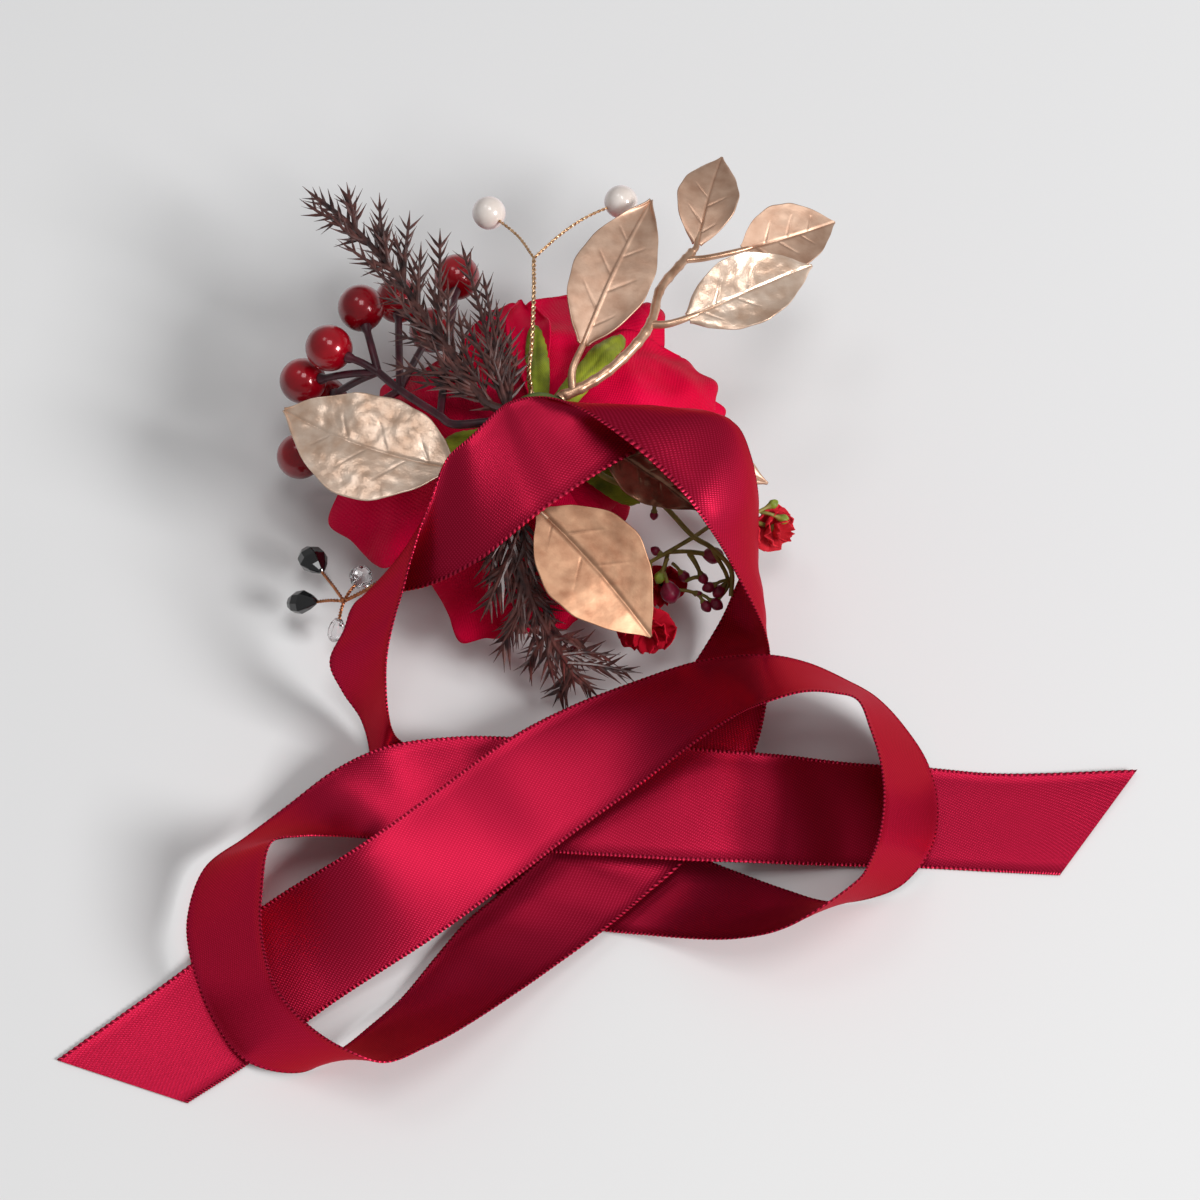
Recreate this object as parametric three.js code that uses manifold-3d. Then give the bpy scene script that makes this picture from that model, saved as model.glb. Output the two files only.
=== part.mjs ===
// Wrist corsage: a satin peony with sprays of berries, leaves, pearls and crystals, on a ribbon.
// It lies face down on a table, with its back up and the untied ribbon round it. Millimetres, +Z up.
import * as THREE from 'three';
import { mergeVertices } from 'three/addons/utils/BufferGeometryUtils.js';
import Module from 'manifold-3d';

const wasm = await Module();
wasm.setup();

// Driving dimensions.
const backHeight = 50;            // table to the ribbon's crown on the back of the flower
const ribbonWidth = 25;
const ribbonWidthSeen = 25;       // the width that the station places were read for
const ribbonThickness = 0.5;
const ribbonPleatSteps = 2;       // lofted steps between two stations
const seatGap = 0.3;              // between two pieces that touch
const petalThickness = 0.6;
const petalLevelStep = 1.25;      // one layer of petals to the next
const calyxHeight = backHeight * 0.77;   // top of the guard petals at the flower's axis
const guardReach = 42;
const guardDrop = backHeight * 0.4;
const guardRipple = 0.9;
const innerHeight = backHeight * 0.63;
const innerReach = 29;
const innerDrop = backHeight * 0.52;
const innerWidth = 15;
const innerLevelStep = 2;
const coreRadius = 19;
const coreHeight = backHeight * 0.52;
const receptacleRadius = 4;
const calyxRadius = 7.5;
const calyxThickness = backHeight * 0.036;
const bundleRadius = 6.8;
const bundleThickness = backHeight * 0.08;
const stemLead = 1.6;             // straight run of a stem where it leaves the bundle
const padRadius = 8;
const padThickness = backHeight * 0.02;
const berryRadius = 5;
const berryStemRadius = 0.85;
const sprigStemRadius = 1.2;
const twigRadius = 0.5;
const needleLength = 6.5;
const needleRadius = 0.45;
const needlePitch = 6.5;
const pearlRadius = 3.6;
const pearlWireRadius = 0.5;
const leafThickness = 0.5;
const leafCamber = 1.6;
const leafFold = 1.4;
const leafStemRadius = 0.6;
const branchRadius = 0.85;
const branchTwigRadius = 0.68;
const sepalWidth = 3.4;
const sepalThickness = 0.6;
const sepalLift = 1.9;
const crystalWireRadius = 0.4;
const fillerStemRadius = 0.65;
const fillerTwigRadius = 0.52;
const budRadius = 1.9;
const rosetteThickness = 3.4;

// The view that the places were read from: an eye above the near side of the table.
const eyeDistance = 650;
const eyeFocalPixels = 2990;
const eyeElevation = THREE.MathUtils.degToRad(64);
const centrePixel = 600;

const eye = new THREE.Vector3(0, -Math.cos(eyeElevation), Math.sin(eyeElevation)).multiplyScalar(eyeDistance);
const eyeForward = new THREE.Vector3(0, Math.cos(eyeElevation), -Math.sin(eyeElevation));
const eyeUp = new THREE.Vector3(0, Math.sin(eyeElevation), Math.cos(eyeElevation));

// The point at a given height that is seen at a pixel.
function seenAt([u, v], height) {
  const ray = eyeForward.clone().addScaledVector(eyeUp, (centrePixel - v) / eyeFocalPixels);
  ray.x += (u - centrePixel) / eyeFocalPixels;
  return eye.clone().addScaledVector(ray, (height - eye.z) / ray.z);
}

function place(pixel, heightShare) {
  return seenAt(pixel, heightShare * backHeight);
}

function route(pixels, heightShares) {
  return pixels.map((pixel, i) => place(pixel, heightShares[i]));
}

// Solids from rings of points. Each ring is closed, and both end rings are capped. The second half of
// a ring is split along the mirrored diagonal, so that the two walls of a thin twisted sheet run level.
function loft(rings) {
  const count = rings[0].length;
  const positions = rings.flat().flatMap((p) => [p.x, p.y, p.z]);
  const faces = [];
  for (let i = 0; i + 1 < rings.length; i += 1) {
    for (let j = 0; j < count; j += 1) {
      const a = i * count + j;
      const b = i * count + (j + 1) % count;
      if (j < count / 2) faces.push(a, b, b + count, a, b + count, a + count);
      else faces.push(a, b, a + count, b, b + count, a + count);
    }
  }
  const last = (rings.length - 1) * count;
  for (let j = 0; j + 1 < count / 2; j += 1) {
    const [a, b, c, d] = [j, j + 1, count - 2 - j, count - 1 - j];
    faces.push(a, d, c, a, c, b);
    faces.push(last + a, last + b, last + c, last + a, last + c, last + d);
  }
  return facingOut(positions, faces);
}

// A closed geometry whose faces point out, whichever way its rings ran.
function facingOut(positions, faces) {
  let volume = 0;
  const corner = (k) => new THREE.Vector3().fromArray(positions, 3 * k);
  for (let k = 0; k < faces.length; k += 3) {
    volume += corner(faces[k]).dot(corner(faces[k + 1]).cross(corner(faces[k + 2])));
  }
  const ordered = [];
  for (let k = 0; k < faces.length; k += 3) {
    ordered.push(faces[k], ...(volume < 0 ? [faces[k + 2], faces[k + 1]] : [faces[k + 1], faces[k + 2]]));
  }
  const geometry = new THREE.BufferGeometry();
  geometry.setAttribute('position', new THREE.Float32BufferAttribute(positions, 3));
  geometry.setIndex(ordered);
  return geometry;
}

// A sheet of rows of points, thickened by half of the offset at each point to each side.
function sheet(rows, offsetAt) {
  return loft(rows.map((row, i) => {
    const upper = row.map((p, j) => p.clone().addScaledVector(offsetAt(i, j), 0.5));
    const lower = row.map((p, j) => p.clone().addScaledVector(offsetAt(i, j), -0.5)).reverse();
    return [...upper, ...lower];
  }));
}

function circle(radius, sides) {
  const points = [];
  for (let k = 0; k < sides; k += 1) {
    const angle = (2 * Math.PI * k) / sides;
    points.push(new THREE.Vector2(radius * Math.cos(angle), radius * Math.sin(angle)));
  }
  return new THREE.Shape(points);
}

// A wire or stem of one radius along points.
function wire(points, radius, sides = 6, stepsPerSpan = 3) {
  const path = new THREE.CatmullRomCurve3(points, false, 'centripetal');
  const steps = points.length === 2 ? 1 : stepsPerSpan * (points.length - 1);
  return new THREE.ExtrudeGeometry(circle(radius, sides), { steps, extrudePath: path, bevelEnabled: false });
}

// A straight spike that tapers from a stem.
function spike(from, to, radius, sides = 3) {
  const along = to.clone().sub(from);
  const side = new THREE.Vector3(0, 0, 1).cross(along).normalize();
  if (side.lengthSq() === 0) side.set(1, 0, 0);
  const up = along.clone().cross(side).normalize();
  const tipShare = 0.25;
  const ring = (centre, r) => Array.from({ length: sides + sides % 2 }, (_, k) => {
    const angle = (2 * Math.PI * k) / (sides + sides % 2);
    return centre.clone().addScaledVector(side, r * Math.cos(angle)).addScaledVector(up, r * Math.sin(angle));
  });
  return loft([ring(from, radius), ring(to, radius * tipShare)]);
}

function toSolid(geometry) {
  const bare = new THREE.BufferGeometry();
  bare.setAttribute('position', geometry.attributes.position.clone());
  if (geometry.index) bare.setIndex(geometry.index.clone());
  const merged = mergeVertices(bare);
  return new wasm.Manifold(new wasm.Mesh({
    numProp: 3,
    vertProperties: Float32Array.from(merged.attributes.position.array),
    triVerts: Uint32Array.from(merged.index.array),
  }));
}

function toGeometry(solid) {
  const { vertProperties, triVerts } = solid.getMesh();
  const geometry = new THREE.BufferGeometry();
  geometry.setAttribute('position', new THREE.Float32BufferAttribute(vertProperties, 3));
  geometry.setIndex(Array.from(triVerts));
  return geometry;
}

function fuse(geometries) {
  const [first, ...others] = geometries.map(toSolid);
  return toGeometry(others.reduce((whole, piece) => whole.add(piece), first));
}

const finishes = {
  ribbon: { color: 0x9c0f2c, roughness: 0.38 },
  petal: { color: 0xb5082a, roughness: 0.75 },
  sepal: { color: 0x6f8a1e, roughness: 0.8 },
  tape: { color: 0x5c6b2a, roughness: 0.85 },
  felt: { color: 0x7a1024, roughness: 0.95 },
  berry: { color: 0x8e0d18, roughness: 0.16 },
  berryStem: { color: 0x3d1420, roughness: 0.5 },
  sprig: { color: 0x4a2c26, roughness: 0.7 },
  gold: { color: 0xc49a6c, roughness: 0.3, metalness: 0.8 },
  goldWire: { color: 0xc8a04a, roughness: 0.3, metalness: 0.9 },
  copperWire: { color: 0xb0714a, roughness: 0.3, metalness: 0.9 },
  pearl: { color: 0xf0ece6, roughness: 0.2 },
  blackCrystal: { color: 0x0c0c10, roughness: 0.06 },
  clearCrystal: { color: 0xe6e4e8, roughness: 0.05 },
  fillerStem: { color: 0x6b5a34, roughness: 0.6 },
  fillerBloom: { color: 0xd01c34, roughness: 0.7 },
};

const corsage = new THREE.Group();

function addPiece(name, geometry, finish) {
  const piece = new THREE.Mesh(geometry, new THREE.MeshStandardMaterial(finishes[finish]));
  piece.name = name;
  corsage.add(piece);
  return piece;
}

// The flower's axis, and the bundle of stems on it.
const axisPixel = [540, 436];
const axisPoint = seenAt(axisPixel, calyxHeight);

function fromAxis(point) {
  return Math.hypot(point.x - axisPoint.x, point.y - axisPoint.y);
}

// The guard petals lie on one rippled dome, so that their layers never cross.
const guardCurveShare = 1.6;
const innerCurveShare = 2.2;
const leanShare = 0.17;           // the flower leans back: its far side is higher than its near side
const rippleCount = 7;

function guardDome(point) {
  const reach = fromAxis(point) / guardReach;
  const angle = Math.atan2(point.y - axisPoint.y, point.x - axisPoint.x);
  return calyxHeight - guardDrop * reach ** guardCurveShare + leanShare * (point.y - axisPoint.y)
    + guardRipple * Math.min(reach, 1) ** 3 * Math.cos(rippleCount * angle);
}

function innerDome(point) {
  const reach = fromAxis(point) / innerReach;
  return innerHeight - innerDrop * reach ** innerCurveShare + (leanShare / 2) * (point.y - axisPoint.y);
}

// The point of the guard dome that is seen at a pixel.
function seenOnDome(pixel) {
  let point = seenAt(pixel, calyxHeight);
  for (let pass = 0; pass < 24; pass += 1) {
    point = seenAt(pixel, (point.z + guardDome(point)) / 2);
  }
  return point;
}

// A petal's outline: [share of its length, share of its half width, share of the length its sides draw back].
const petalOutlineShares = [
  [0, 0.16, 0], [0.12, 0.3, 0], [0.28, 0.55, 0], [0.46, 0.83, 0.01], [0.64, 0.99, 0.03],
  [0.8, 0.98, 0.06], [0.92, 0.8, 0.1], [1, 0.48, 0.09],
];
const petalAcrossShares = [-1, -0.7, -0.36, 0, 0.36, 0.7, 1];

function petal({ towards, halfWidth, level, levelStep, dome }) {
  const start = receptacleRadius + seatGap;
  const angle = Math.atan2(towards.y - axisPoint.y, towards.x - axisPoint.x);
  const along = new THREE.Vector3(Math.cos(angle), Math.sin(angle), 0);
  const across = new THREE.Vector3(-along.y, along.x, 0);
  const length = fromAxis(towards) - start;
  const base = new THREE.Vector3(axisPoint.x, axisPoint.y, 0).addScaledVector(along, start);
  const rows = petalOutlineShares.map(([lengthShare, widthShare, backShare]) => (
    petalAcrossShares.map((share) => {
      const point = base.clone()
        .addScaledVector(along, length * (lengthShare - backShare * share * share))
        .addScaledVector(across, halfWidth * widthShare * share);
      point.z = dome(point) - level * levelStep;
      return point;
    })
  ));
  const thickness = new THREE.Vector3(0, 0, petalThickness);
  return sheet(rows, () => thickness);
}

const guardPetals = {
  guard_petal_back_right: { tipPixel: [708, 372], halfWidthShare: 0.37, level: 0 },
  guard_petal_back: { tipPixel: [605, 284], halfWidthShare: 0.34, level: 1 },
  guard_petal_back_left: { tipPixel: [510, 300], halfWidthShare: 0.29, level: 2 },
  guard_petal_left: { tipPixel: [372, 394], halfWidthShare: 0.3, level: 0 },
  guard_petal_front_left: { tipPixel: [330, 510], halfWidthShare: 0.4, level: 1 },
  guard_petal_front: { tipPixel: [466, 632], halfWidthShare: 0.33, level: 2 },
  guard_petal_front_right: { tipPixel: [545, 622], halfWidthShare: 0.3, level: 0 },
  guard_petal_right: { tipPixel: [640, 508], halfWidthShare: 0.28, level: 1 },
};

for (const [name, { tipPixel, halfWidthShare, level }] of Object.entries(guardPetals)) {
  addPiece(name, petal({
    towards: seenOnDome(tipPixel),
    halfWidth: halfWidthShare * guardReach,
    level,
    levelStep: petalLevelStep,
    dome: guardDome,
  }), 'petal');
}

const innerPetalCount = 6;
for (let k = 0; k < innerPetalCount; k += 1) {
  const angle = (2 * Math.PI * (k + 0.5)) / innerPetalCount;
  const towards = new THREE.Vector3(
    axisPoint.x + innerReach * Math.cos(angle),
    axisPoint.y + innerReach * Math.sin(angle),
    0,
  );
  addPiece(`inner_petal_${k + 1}`, petal({
    towards, halfWidth: innerWidth, level: k % 2, levelStep: innerLevelStep, dome: innerDome,
  }), 'petal');
}

// The ruffled heart of the flower, flat where it rests on the table.
const coreProfileShares = [
  [0.24, 1], [0.5, 0.86], [0.78, 0.62], [0.96, 0.38], [1, 0.2], [0.86, 0.05], [0.6, 0],
];
const coreLobes = 5;
const coreLobeShare = 0.08;
const coreTwist = 1.6;
const coreSides = 30;

function flowerCore() {
  return loft(coreProfileShares.map(([radiusShare, heightShare]) => (
    Array.from({ length: coreSides }, (_, k) => {
      const angle = (2 * Math.PI * k) / coreSides;
      const twist = coreTwist * heightShare * Math.PI;
      const ruffle = coreLobeShare * radiusShare * Math.cos(coreLobes * angle + twist);
      const radius = coreRadius * radiusShare * (1 + ruffle);
      return new THREE.Vector3(
        axisPoint.x + radius * Math.cos(angle),
        axisPoint.y + radius * Math.sin(angle),
        coreHeight * heightShare,
      );
    })
  )));
}
addPiece('flower_core', flowerCore(), 'petal');

function turned(profile, centre, sides) {
  const geometry = new THREE.LatheGeometry(profile.map(([r, z]) => new THREE.Vector2(r, z)), sides);
  geometry.rotateX(Math.PI / 2);
  geometry.translate(centre.x, centre.y, 0);
  return toGeometry(toSolid(geometry));
}

const calyxBase = calyxHeight + petalThickness / 2 + 2 * seatGap;
const calyxTop = calyxBase + calyxThickness;
const receptacleProfile = [
  [0, coreHeight + seatGap],
  [receptacleRadius, coreHeight + seatGap],
  [receptacleRadius, calyxBase],
  [calyxRadius, calyxBase],
  [calyxRadius, calyxBase + calyxThickness / 2],
  [calyxRadius * 0.7, calyxTop],
  [0, calyxTop],
];
addPiece('flower_receptacle', turned(receptacleProfile, axisPoint, 20), 'sepal');

const bundleBase = calyxTop + 2 * seatGap;
const bundleTop = bundleBase + bundleThickness;
const bundleRoundShare = 0.12;
const bundleProfile = [
  [0, bundleBase],
  [bundleRadius * (1 - bundleRoundShare), bundleBase],
  [bundleRadius, bundleBase + bundleRadius * bundleRoundShare],
  [bundleRadius, bundleTop - bundleRadius * bundleRoundShare],
  [bundleRadius * (1 - bundleRoundShare), bundleTop],
  [0, bundleTop],
];
addPiece('stem_bundle', turned(bundleProfile, axisPoint, 24), 'tape');

const padPixel = [552, 438];
const padBase = bundleTop + seatGap;
const padPoint = seenAt(padPixel, padBase);
const padTop = padBase + padThickness;
const padProfile = [[0, padBase], [padRadius, padBase], [padRadius, padTop], [0, padTop]];
addPiece('backing_pad', turned(padProfile, padPoint, 24), 'felt');

// Where a stem that runs towards a point leaves the side of the bundle.
const stemHeight = (bundleBase + bundleTop) / 2;

function atBundle(towards) {
  const out = new THREE.Vector3(towards.x - axisPoint.x, towards.y - axisPoint.y, 0).normalize();
  return new THREE.Vector3(axisPoint.x, axisPoint.y, stemHeight).addScaledVector(out, bundleRadius + seatGap);
}

// A straight radial start, then the route.
function stemRoute(points) {
  const start = atBundle(points[0]);
  const out = new THREE.Vector3(start.x - axisPoint.x, start.y - axisPoint.y, 0).setLength(stemLead);
  return [start, start.clone().add(out), ...points];
}

// Sepals lie on the guard petals, out from the calyx.
const sepalOutlineShares = [[0, 0.55], [0.25, 0.95], [0.5, 1], [0.75, 0.72], [1, 0.14]];
const sepalAcrossShares = [-1, -0.5, 0, 0.5, 1];
const sepals = {
  sepal_back: { tipPixel: [534, 334], halfWidthShare: 1 },
  sepal_back_right: { tipPixel: [622, 342], halfWidthShare: 1.15 },
  sepal_right: { tipPixel: [642, 500], halfWidthShare: 1.25 },
  sepal_left: { tipPixel: [440, 452], halfWidthShare: 0.9 },
};

function sepal(tipPixel, halfWidth) {
  const tip = seenOnDome(tipPixel);
  const along = new THREE.Vector3(tip.x - axisPoint.x, tip.y - axisPoint.y, 0).normalize();
  const across = new THREE.Vector3(-along.y, along.x, 0);
  const start = calyxRadius + seatGap;
  const length = fromAxis(tip) - start;
  const rows = sepalOutlineShares.map(([lengthShare, widthShare]) => sepalAcrossShares.map((share) => {
    const point = new THREE.Vector3(axisPoint.x, axisPoint.y, 0)
      .addScaledVector(along, start + length * lengthShare)
      .addScaledVector(across, halfWidth * widthShare * share);
    point.z = guardDome(point) + sepalLift;
    return point;
  }));
  const thickness = new THREE.Vector3(0, 0, sepalThickness);
  return sheet(rows, () => thickness);
}

for (const [name, { tipPixel, halfWidthShare }] of Object.entries(sepals)) {
  addPiece(name, sepal(tipPixel, halfWidthShare * sepalWidth), 'sepal');
}

// Berries, each with a stem that ends at its skin.
const berries = {
  berry_1: { pixel: [361, 308], heightShare: 0.67, forkPixel: [378, 372], forkHeightShare: 0.68 },
  berry_2: { pixel: [329, 348], heightShare: 0.65, forkPixel: [378, 372], forkHeightShare: 0.68 },
  berry_3: { pixel: [303, 381], heightShare: 0.46, forkPixel: [378, 372], forkHeightShare: 0.68 },
  berry_4: { pixel: [325, 399], heightShare: 0.24, forkPixel: [378, 372], forkHeightShare: 0.68 },
  berry_5: { pixel: [300, 456], heightShare: 0.3, forkPixel: [400, 390], forkHeightShare: 0.72 },
  berry_6: { pixel: [398, 300], heightShare: 0.535, forkPixel: [400, 390], forkHeightShare: 0.72 },
  berry_7: { pixel: [457, 277], heightShare: 0.5, forkPixel: [440, 416], forkHeightShare: 0.8 },
  berry_8: { pixel: [432, 330], heightShare: 0.42, forkPixel: [400, 390], forkHeightShare: 0.72 },
};
const berryStemPixels = [[452, 424], [440, 416], [400, 390], [378, 372]];
const berryStemHeightShares = [0.83, 0.8, 0.72, 0.68];

function ball(centre, radius, segments, rings) {
  const geometry = new THREE.SphereGeometry(radius, segments, rings);
  geometry.translate(centre.x, centre.y, centre.z);
  return geometry;
}

const berryPedicels = [wire(stemRoute(route(berryStemPixels, berryStemHeightShares)), berryStemRadius)];
for (const [name, { pixel, heightShare, forkPixel, forkHeightShare }] of Object.entries(berries)) {
  const centre = place(pixel, heightShare);
  const fork = place(forkPixel, forkHeightShare);
  const inward = fork.clone().sub(centre).normalize();
  const end = centre.clone().addScaledVector(inward, berryRadius + seatGap);
  berryPedicels.push(wire([fork, end], berryStemRadius));
  addPiece(name, toGeometry(toSolid(ball(centre, berryRadius, 12, 8))), 'berry');
}
addPiece('berry_stem', fuse(berryPedicels), 'berryStem');

// Sprigs: a stem, side twigs, and needles in pairs along each twig.
const needleLeanShare = 0.8;
const needleSpreadShare = 0.32;
const stemBareShare = 0.2;
const twigBareShare = 0.3;
const forkBackShare = 0.25;       // how much a twig prefers to fork off early
const forkSamples = 60;

// Where on a stem the twig to a tip forks off.
function forkOn(points, tip) {
  const samples = new THREE.CatmullRomCurve3(points, false, 'centripetal').getSpacedPoints(forkSamples);
  const cost = (sample) => sample.distanceTo(tip) + forkBackShare * sample.distanceTo(samples[0]);
  return samples.reduce((best, sample) => (cost(sample) < cost(best) ? sample : best));
}

function needles(from, to, firstShare) {
  const along = to.clone().sub(from);
  const count = Math.max(1, Math.floor(along.length() * (1 - firstShare) / needlePitch));
  const direction = along.clone().normalize();
  const side = new THREE.Vector3(0, 0, 1).cross(direction).normalize();
  const pieces = [];
  for (let k = 0; k < count; k += 1) {
    const root = from.clone().addScaledVector(along, firstShare + (1 - firstShare) * (k / count));
    for (const hand of [-1, 1]) {
      const tip = root.clone()
        .addScaledVector(direction, needleLength * needleLeanShare)
        .addScaledVector(side, hand * needleLength * needleSpreadShare);
      pieces.push(spike(root, tip, needleRadius));
    }
  }
  return pieces;
}

function sprig({ stemPixels, stemHeightShares, twigPixels, twigHeightShares }) {
  const stem = stemRoute(route(stemPixels, stemHeightShares));
  const [beforeEnd, end] = stem.slice(-2);
  const pieces = [wire(stem, sprigStemRadius, 6, 2), ...needles(beforeEnd, end, stemBareShare)];
  for (const tip of route(twigPixels, twigHeightShares)) {
    const root = forkOn(stem, tip);
    pieces.push(wire([root, tip], twigRadius, 4), ...needles(root, tip, twigBareShare));
  }
  return fuse(pieces);
}

addPiece('upper_sprig', sprig({
  stemPixels: [
    [488, 404], [470, 383], [450, 350], [420, 310], [400, 280], [375, 250], [345, 220], [318, 199],
  ],
  stemHeightShares: [0.88, 0.87, 0.86, 0.84, 0.82, 0.8, 0.78, 0.74],
  twigPixels: [
    [350, 200], [335, 222], [380, 212], [355, 240], [408, 230], [378, 268], [440, 248], [394, 300],
    [466, 260], [486, 290], [408, 338], [498, 318], [404, 368], [510, 345], [430, 384],
  ],
  twigHeightShares: [0.8, 0.76, 0.82, 0.77, 0.84, 0.79, 0.85, 0.8, 0.86, 0.84, 0.82, 0.83, 0.83, 0.83, 0.84],
}), 'sprig');
addPiece('lower_sprig', sprig({
  stemPixels: [[508, 520], [518, 560], [532, 602], [552, 640], [570, 668]],
  stemHeightShares: [0.82, 0.74, 0.6, 0.42, 0.26],
  twigPixels: [[490, 600], [504, 644], [530, 660], [560, 690], [588, 686], [622, 670], [600, 654]],
  twigHeightShares: [0.64, 0.44, 0.32, 0.16, 0.16, 0.18, 0.26],
}), 'sprig');

// Pearls on twisted wire.
const pearls = {
  pearl_left: { pixel: [489, 213], heightShare: 0.84 },
  pearl_right: { pixel: [621, 202], heightShare: 0.9 },
};
const pearlStemPixels = [[529, 374], [532, 340], [534, 290], [534, 258]];
const pearlStemHeightShares = [0.93, 1, 1, 0.96];
const pearlArmPixels = {
  pearl_left: [[534, 258], [518, 236]],
  pearl_right: [[534, 258], [560, 235], [585, 218]],
};
const pearlArmHeightShares = { pearl_left: [0.96, 0.9], pearl_right: [0.96, 0.95, 0.93] };

const pearlWires = [wire(stemRoute(route(pearlStemPixels, pearlStemHeightShares)), pearlWireRadius, 5)];
for (const [name, { pixel, heightShare }] of Object.entries(pearls)) {
  const centre = place(pixel, heightShare);
  const arm = route(pearlArmPixels[name], pearlArmHeightShares[name]);
  const inward = arm[arm.length - 1].clone().sub(centre).normalize();
  const end = centre.clone().addScaledVector(inward, pearlRadius + seatGap);
  pearlWires.push(wire([...arm, end], pearlWireRadius, 5));
  addPiece(name, toGeometry(toSolid(ball(centre, pearlRadius, 12, 8))), 'pearl');
}
addPiece('pearl_wire', fuse(pearlWires), 'goldWire');

// Foil leaves: cambered along, folded along the midrib.
const leafOutlineShares = [
  [0, 0.14], [0.1, 0.5], [0.24, 0.84], [0.4, 1], [0.56, 0.95], [0.72, 0.72], [0.86, 0.4], [1, 0.05],
];
const leafAcrossShares = [-1, -0.5, 0, 0.5, 1];
const leafNormalShares = [0, -0.2, 1];

function leafBlade(base, tip, width, tilt = 0) {
  const axis = tip.clone().sub(base);
  const length = axis.length();
  const along = axis.clone().normalize();
  const lean = new THREE.Vector3().fromArray(leafNormalShares).normalize();
  const across = lean.clone().cross(along).normalize().applyAxisAngle(along, tilt);
  const normal = along.clone().cross(across);
  const rows = leafOutlineShares.map(([lengthShare, widthShare]) => leafAcrossShares.map((share) => {
    const lift = leafCamber * Math.sin(Math.PI * lengthShare) + leafFold * widthShare * Math.abs(share);
    return base.clone()
      .addScaledVector(along, length * lengthShare)
      .addScaledVector(across, (width / 2) * widthShare * share)
      .addScaledVector(normal, lift);
  }));
  const thickness = normal.multiplyScalar(leafThickness);
  return sheet(rows, () => thickness);
}

// The leafy branch: its stems end just short of the leaves they carry.
const branchStemPixels = [
  [562, 396], [585, 386], [612, 368], [640, 340], [652, 320], [660, 290], [680, 265], [692, 252],
];
const branchStemHeightShares = [0.88, 0.89, 0.9, 0.91, 0.9, 0.88, 0.85, 0.83];
const branchLeaves = {
  gold_leaf_1: {
    basePixel: [583, 345], tipPixel: [651, 201], baseHeightShare: 0.94, tipHeightShare: 0.98, width: 17,
    fromPixel: [573, 392], fromHeightShare: 0.885,
  },
  gold_leaf_2: {
    basePixel: [697, 244], tipPixel: [722, 157], baseHeightShare: 0.83, tipHeightShare: 0.8, width: 13,
    fromPixel: [690, 254], fromHeightShare: 0.835,
  },
  gold_leaf_3: {
    basePixel: [742, 250], tipPixel: [835, 222], baseHeightShare: 0.78, tipHeightShare: 0.72, width: 13,
    fromPixel: [686, 260], fromHeightShare: 0.845,
  },
  gold_leaf_4: {
    basePixel: [688, 318], tipPixel: [812, 265], baseHeightShare: 0.92, tipHeightShare: 0.88, width: 15,
    fromPixel: [650, 325], fromHeightShare: 0.9,
  },
};

const branchTwigs = [wire(stemRoute(route(branchStemPixels, branchStemHeightShares)), branchRadius)];
for (const [name, leaf] of Object.entries(branchLeaves)) {
  const base = place(leaf.basePixel, leaf.baseHeightShare);
  const tip = place(leaf.tipPixel, leaf.tipHeightShare);
  const from = place(leaf.fromPixel, leaf.fromHeightShare);
  const inward = base.clone().sub(tip).normalize();
  branchTwigs.push(wire([from, base.clone().addScaledVector(inward, 2 * seatGap)], branchTwigRadius, 5));
  addPiece(name, leafBlade(base, tip, leaf.width), 'gold');
}
addPiece('gold_branch', fuse(branchTwigs), 'gold');

// Single leaves, each on its own wire stem.
const singleLeaves = {
  gold_leaf_5: {
    basePixel: [452, 464], tipPixel: [284, 410], baseHeightShare: 0.8, tipHeightShare: 0.7,
    width: 20, tilt: 0.1,
  },
  gold_leaf_6: {
    basePixel: [541, 511], tipPixel: [651, 637], baseHeightShare: 0.87, tipHeightShare: 0.62,
    width: 22, tilt: 0,
  },
  gold_leaf_7: {
    basePixel: [604, 445], tipPixel: [697, 510], baseHeightShare: 0.86, tipHeightShare: 0.72,
    width: 13, tilt: 0,
  },
  gold_leaf_8: {
    basePixel: [632, 420], tipPixel: [768, 483], baseHeightShare: 0.86, tipHeightShare: 0.58,
    width: 12, tilt: 0,
  },
};
const leafStemInShare = 0.06;     // how far its stem runs into a leaf
const leafStemOutShare = -0.04;

for (const [name, leaf] of Object.entries(singleLeaves)) {
  const base = place(leaf.basePixel, leaf.baseHeightShare);
  const tip = place(leaf.tipPixel, leaf.tipHeightShare);
  const stemEnd = [leafStemOutShare, leafStemInShare].map((share) => base.clone().lerp(tip, share));
  addPiece(name, fuse([
    leafBlade(base, tip, leaf.width, leaf.tilt),
    wire(stemRoute(stemEnd), leafStemRadius, 6, 2),
  ]), 'gold');
}

// Faceted crystals on twisted copper wire.
const hubPixel = [344, 601];
const hubHeightShare = 0.26;
const crystals = {
  crystal_drop_black_1: {
    pixel: [314, 561], heightShare: 0.18, radius: 3.3, stretchShare: 1.25, finish: 'blackCrystal',
  },
  crystal_drop_black_2: {
    pixel: [303, 602], heightShare: 0.16, radius: 2.9, stretchShare: 1.35, finish: 'blackCrystal',
  },
  crystal_bead_clear_1: {
    pixel: [361, 577], heightShare: 0.24, radius: 2.6, stretchShare: 1, finish: 'clearCrystal',
  },
  crystal_bead_clear_2: {
    pixel: [336, 630], heightShare: 0.16, radius: 1.8, stretchShare: 1.6, finish: 'clearCrystal',
  },
};
const crystalStemPixels = [[478, 500], [425, 556], [385, 578], [362, 592]];
const crystalStemHeightShares = [0.84, 0.6, 0.42, 0.32];

// A cut stone: three faceted bands between two small flats.
const crystalProfileShares = [[0.3, -1], [0.9, -0.45], [0.98, 0.1], [0.6, 0.7], [0.2, 1]];
const crystalSides = 8;

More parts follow.
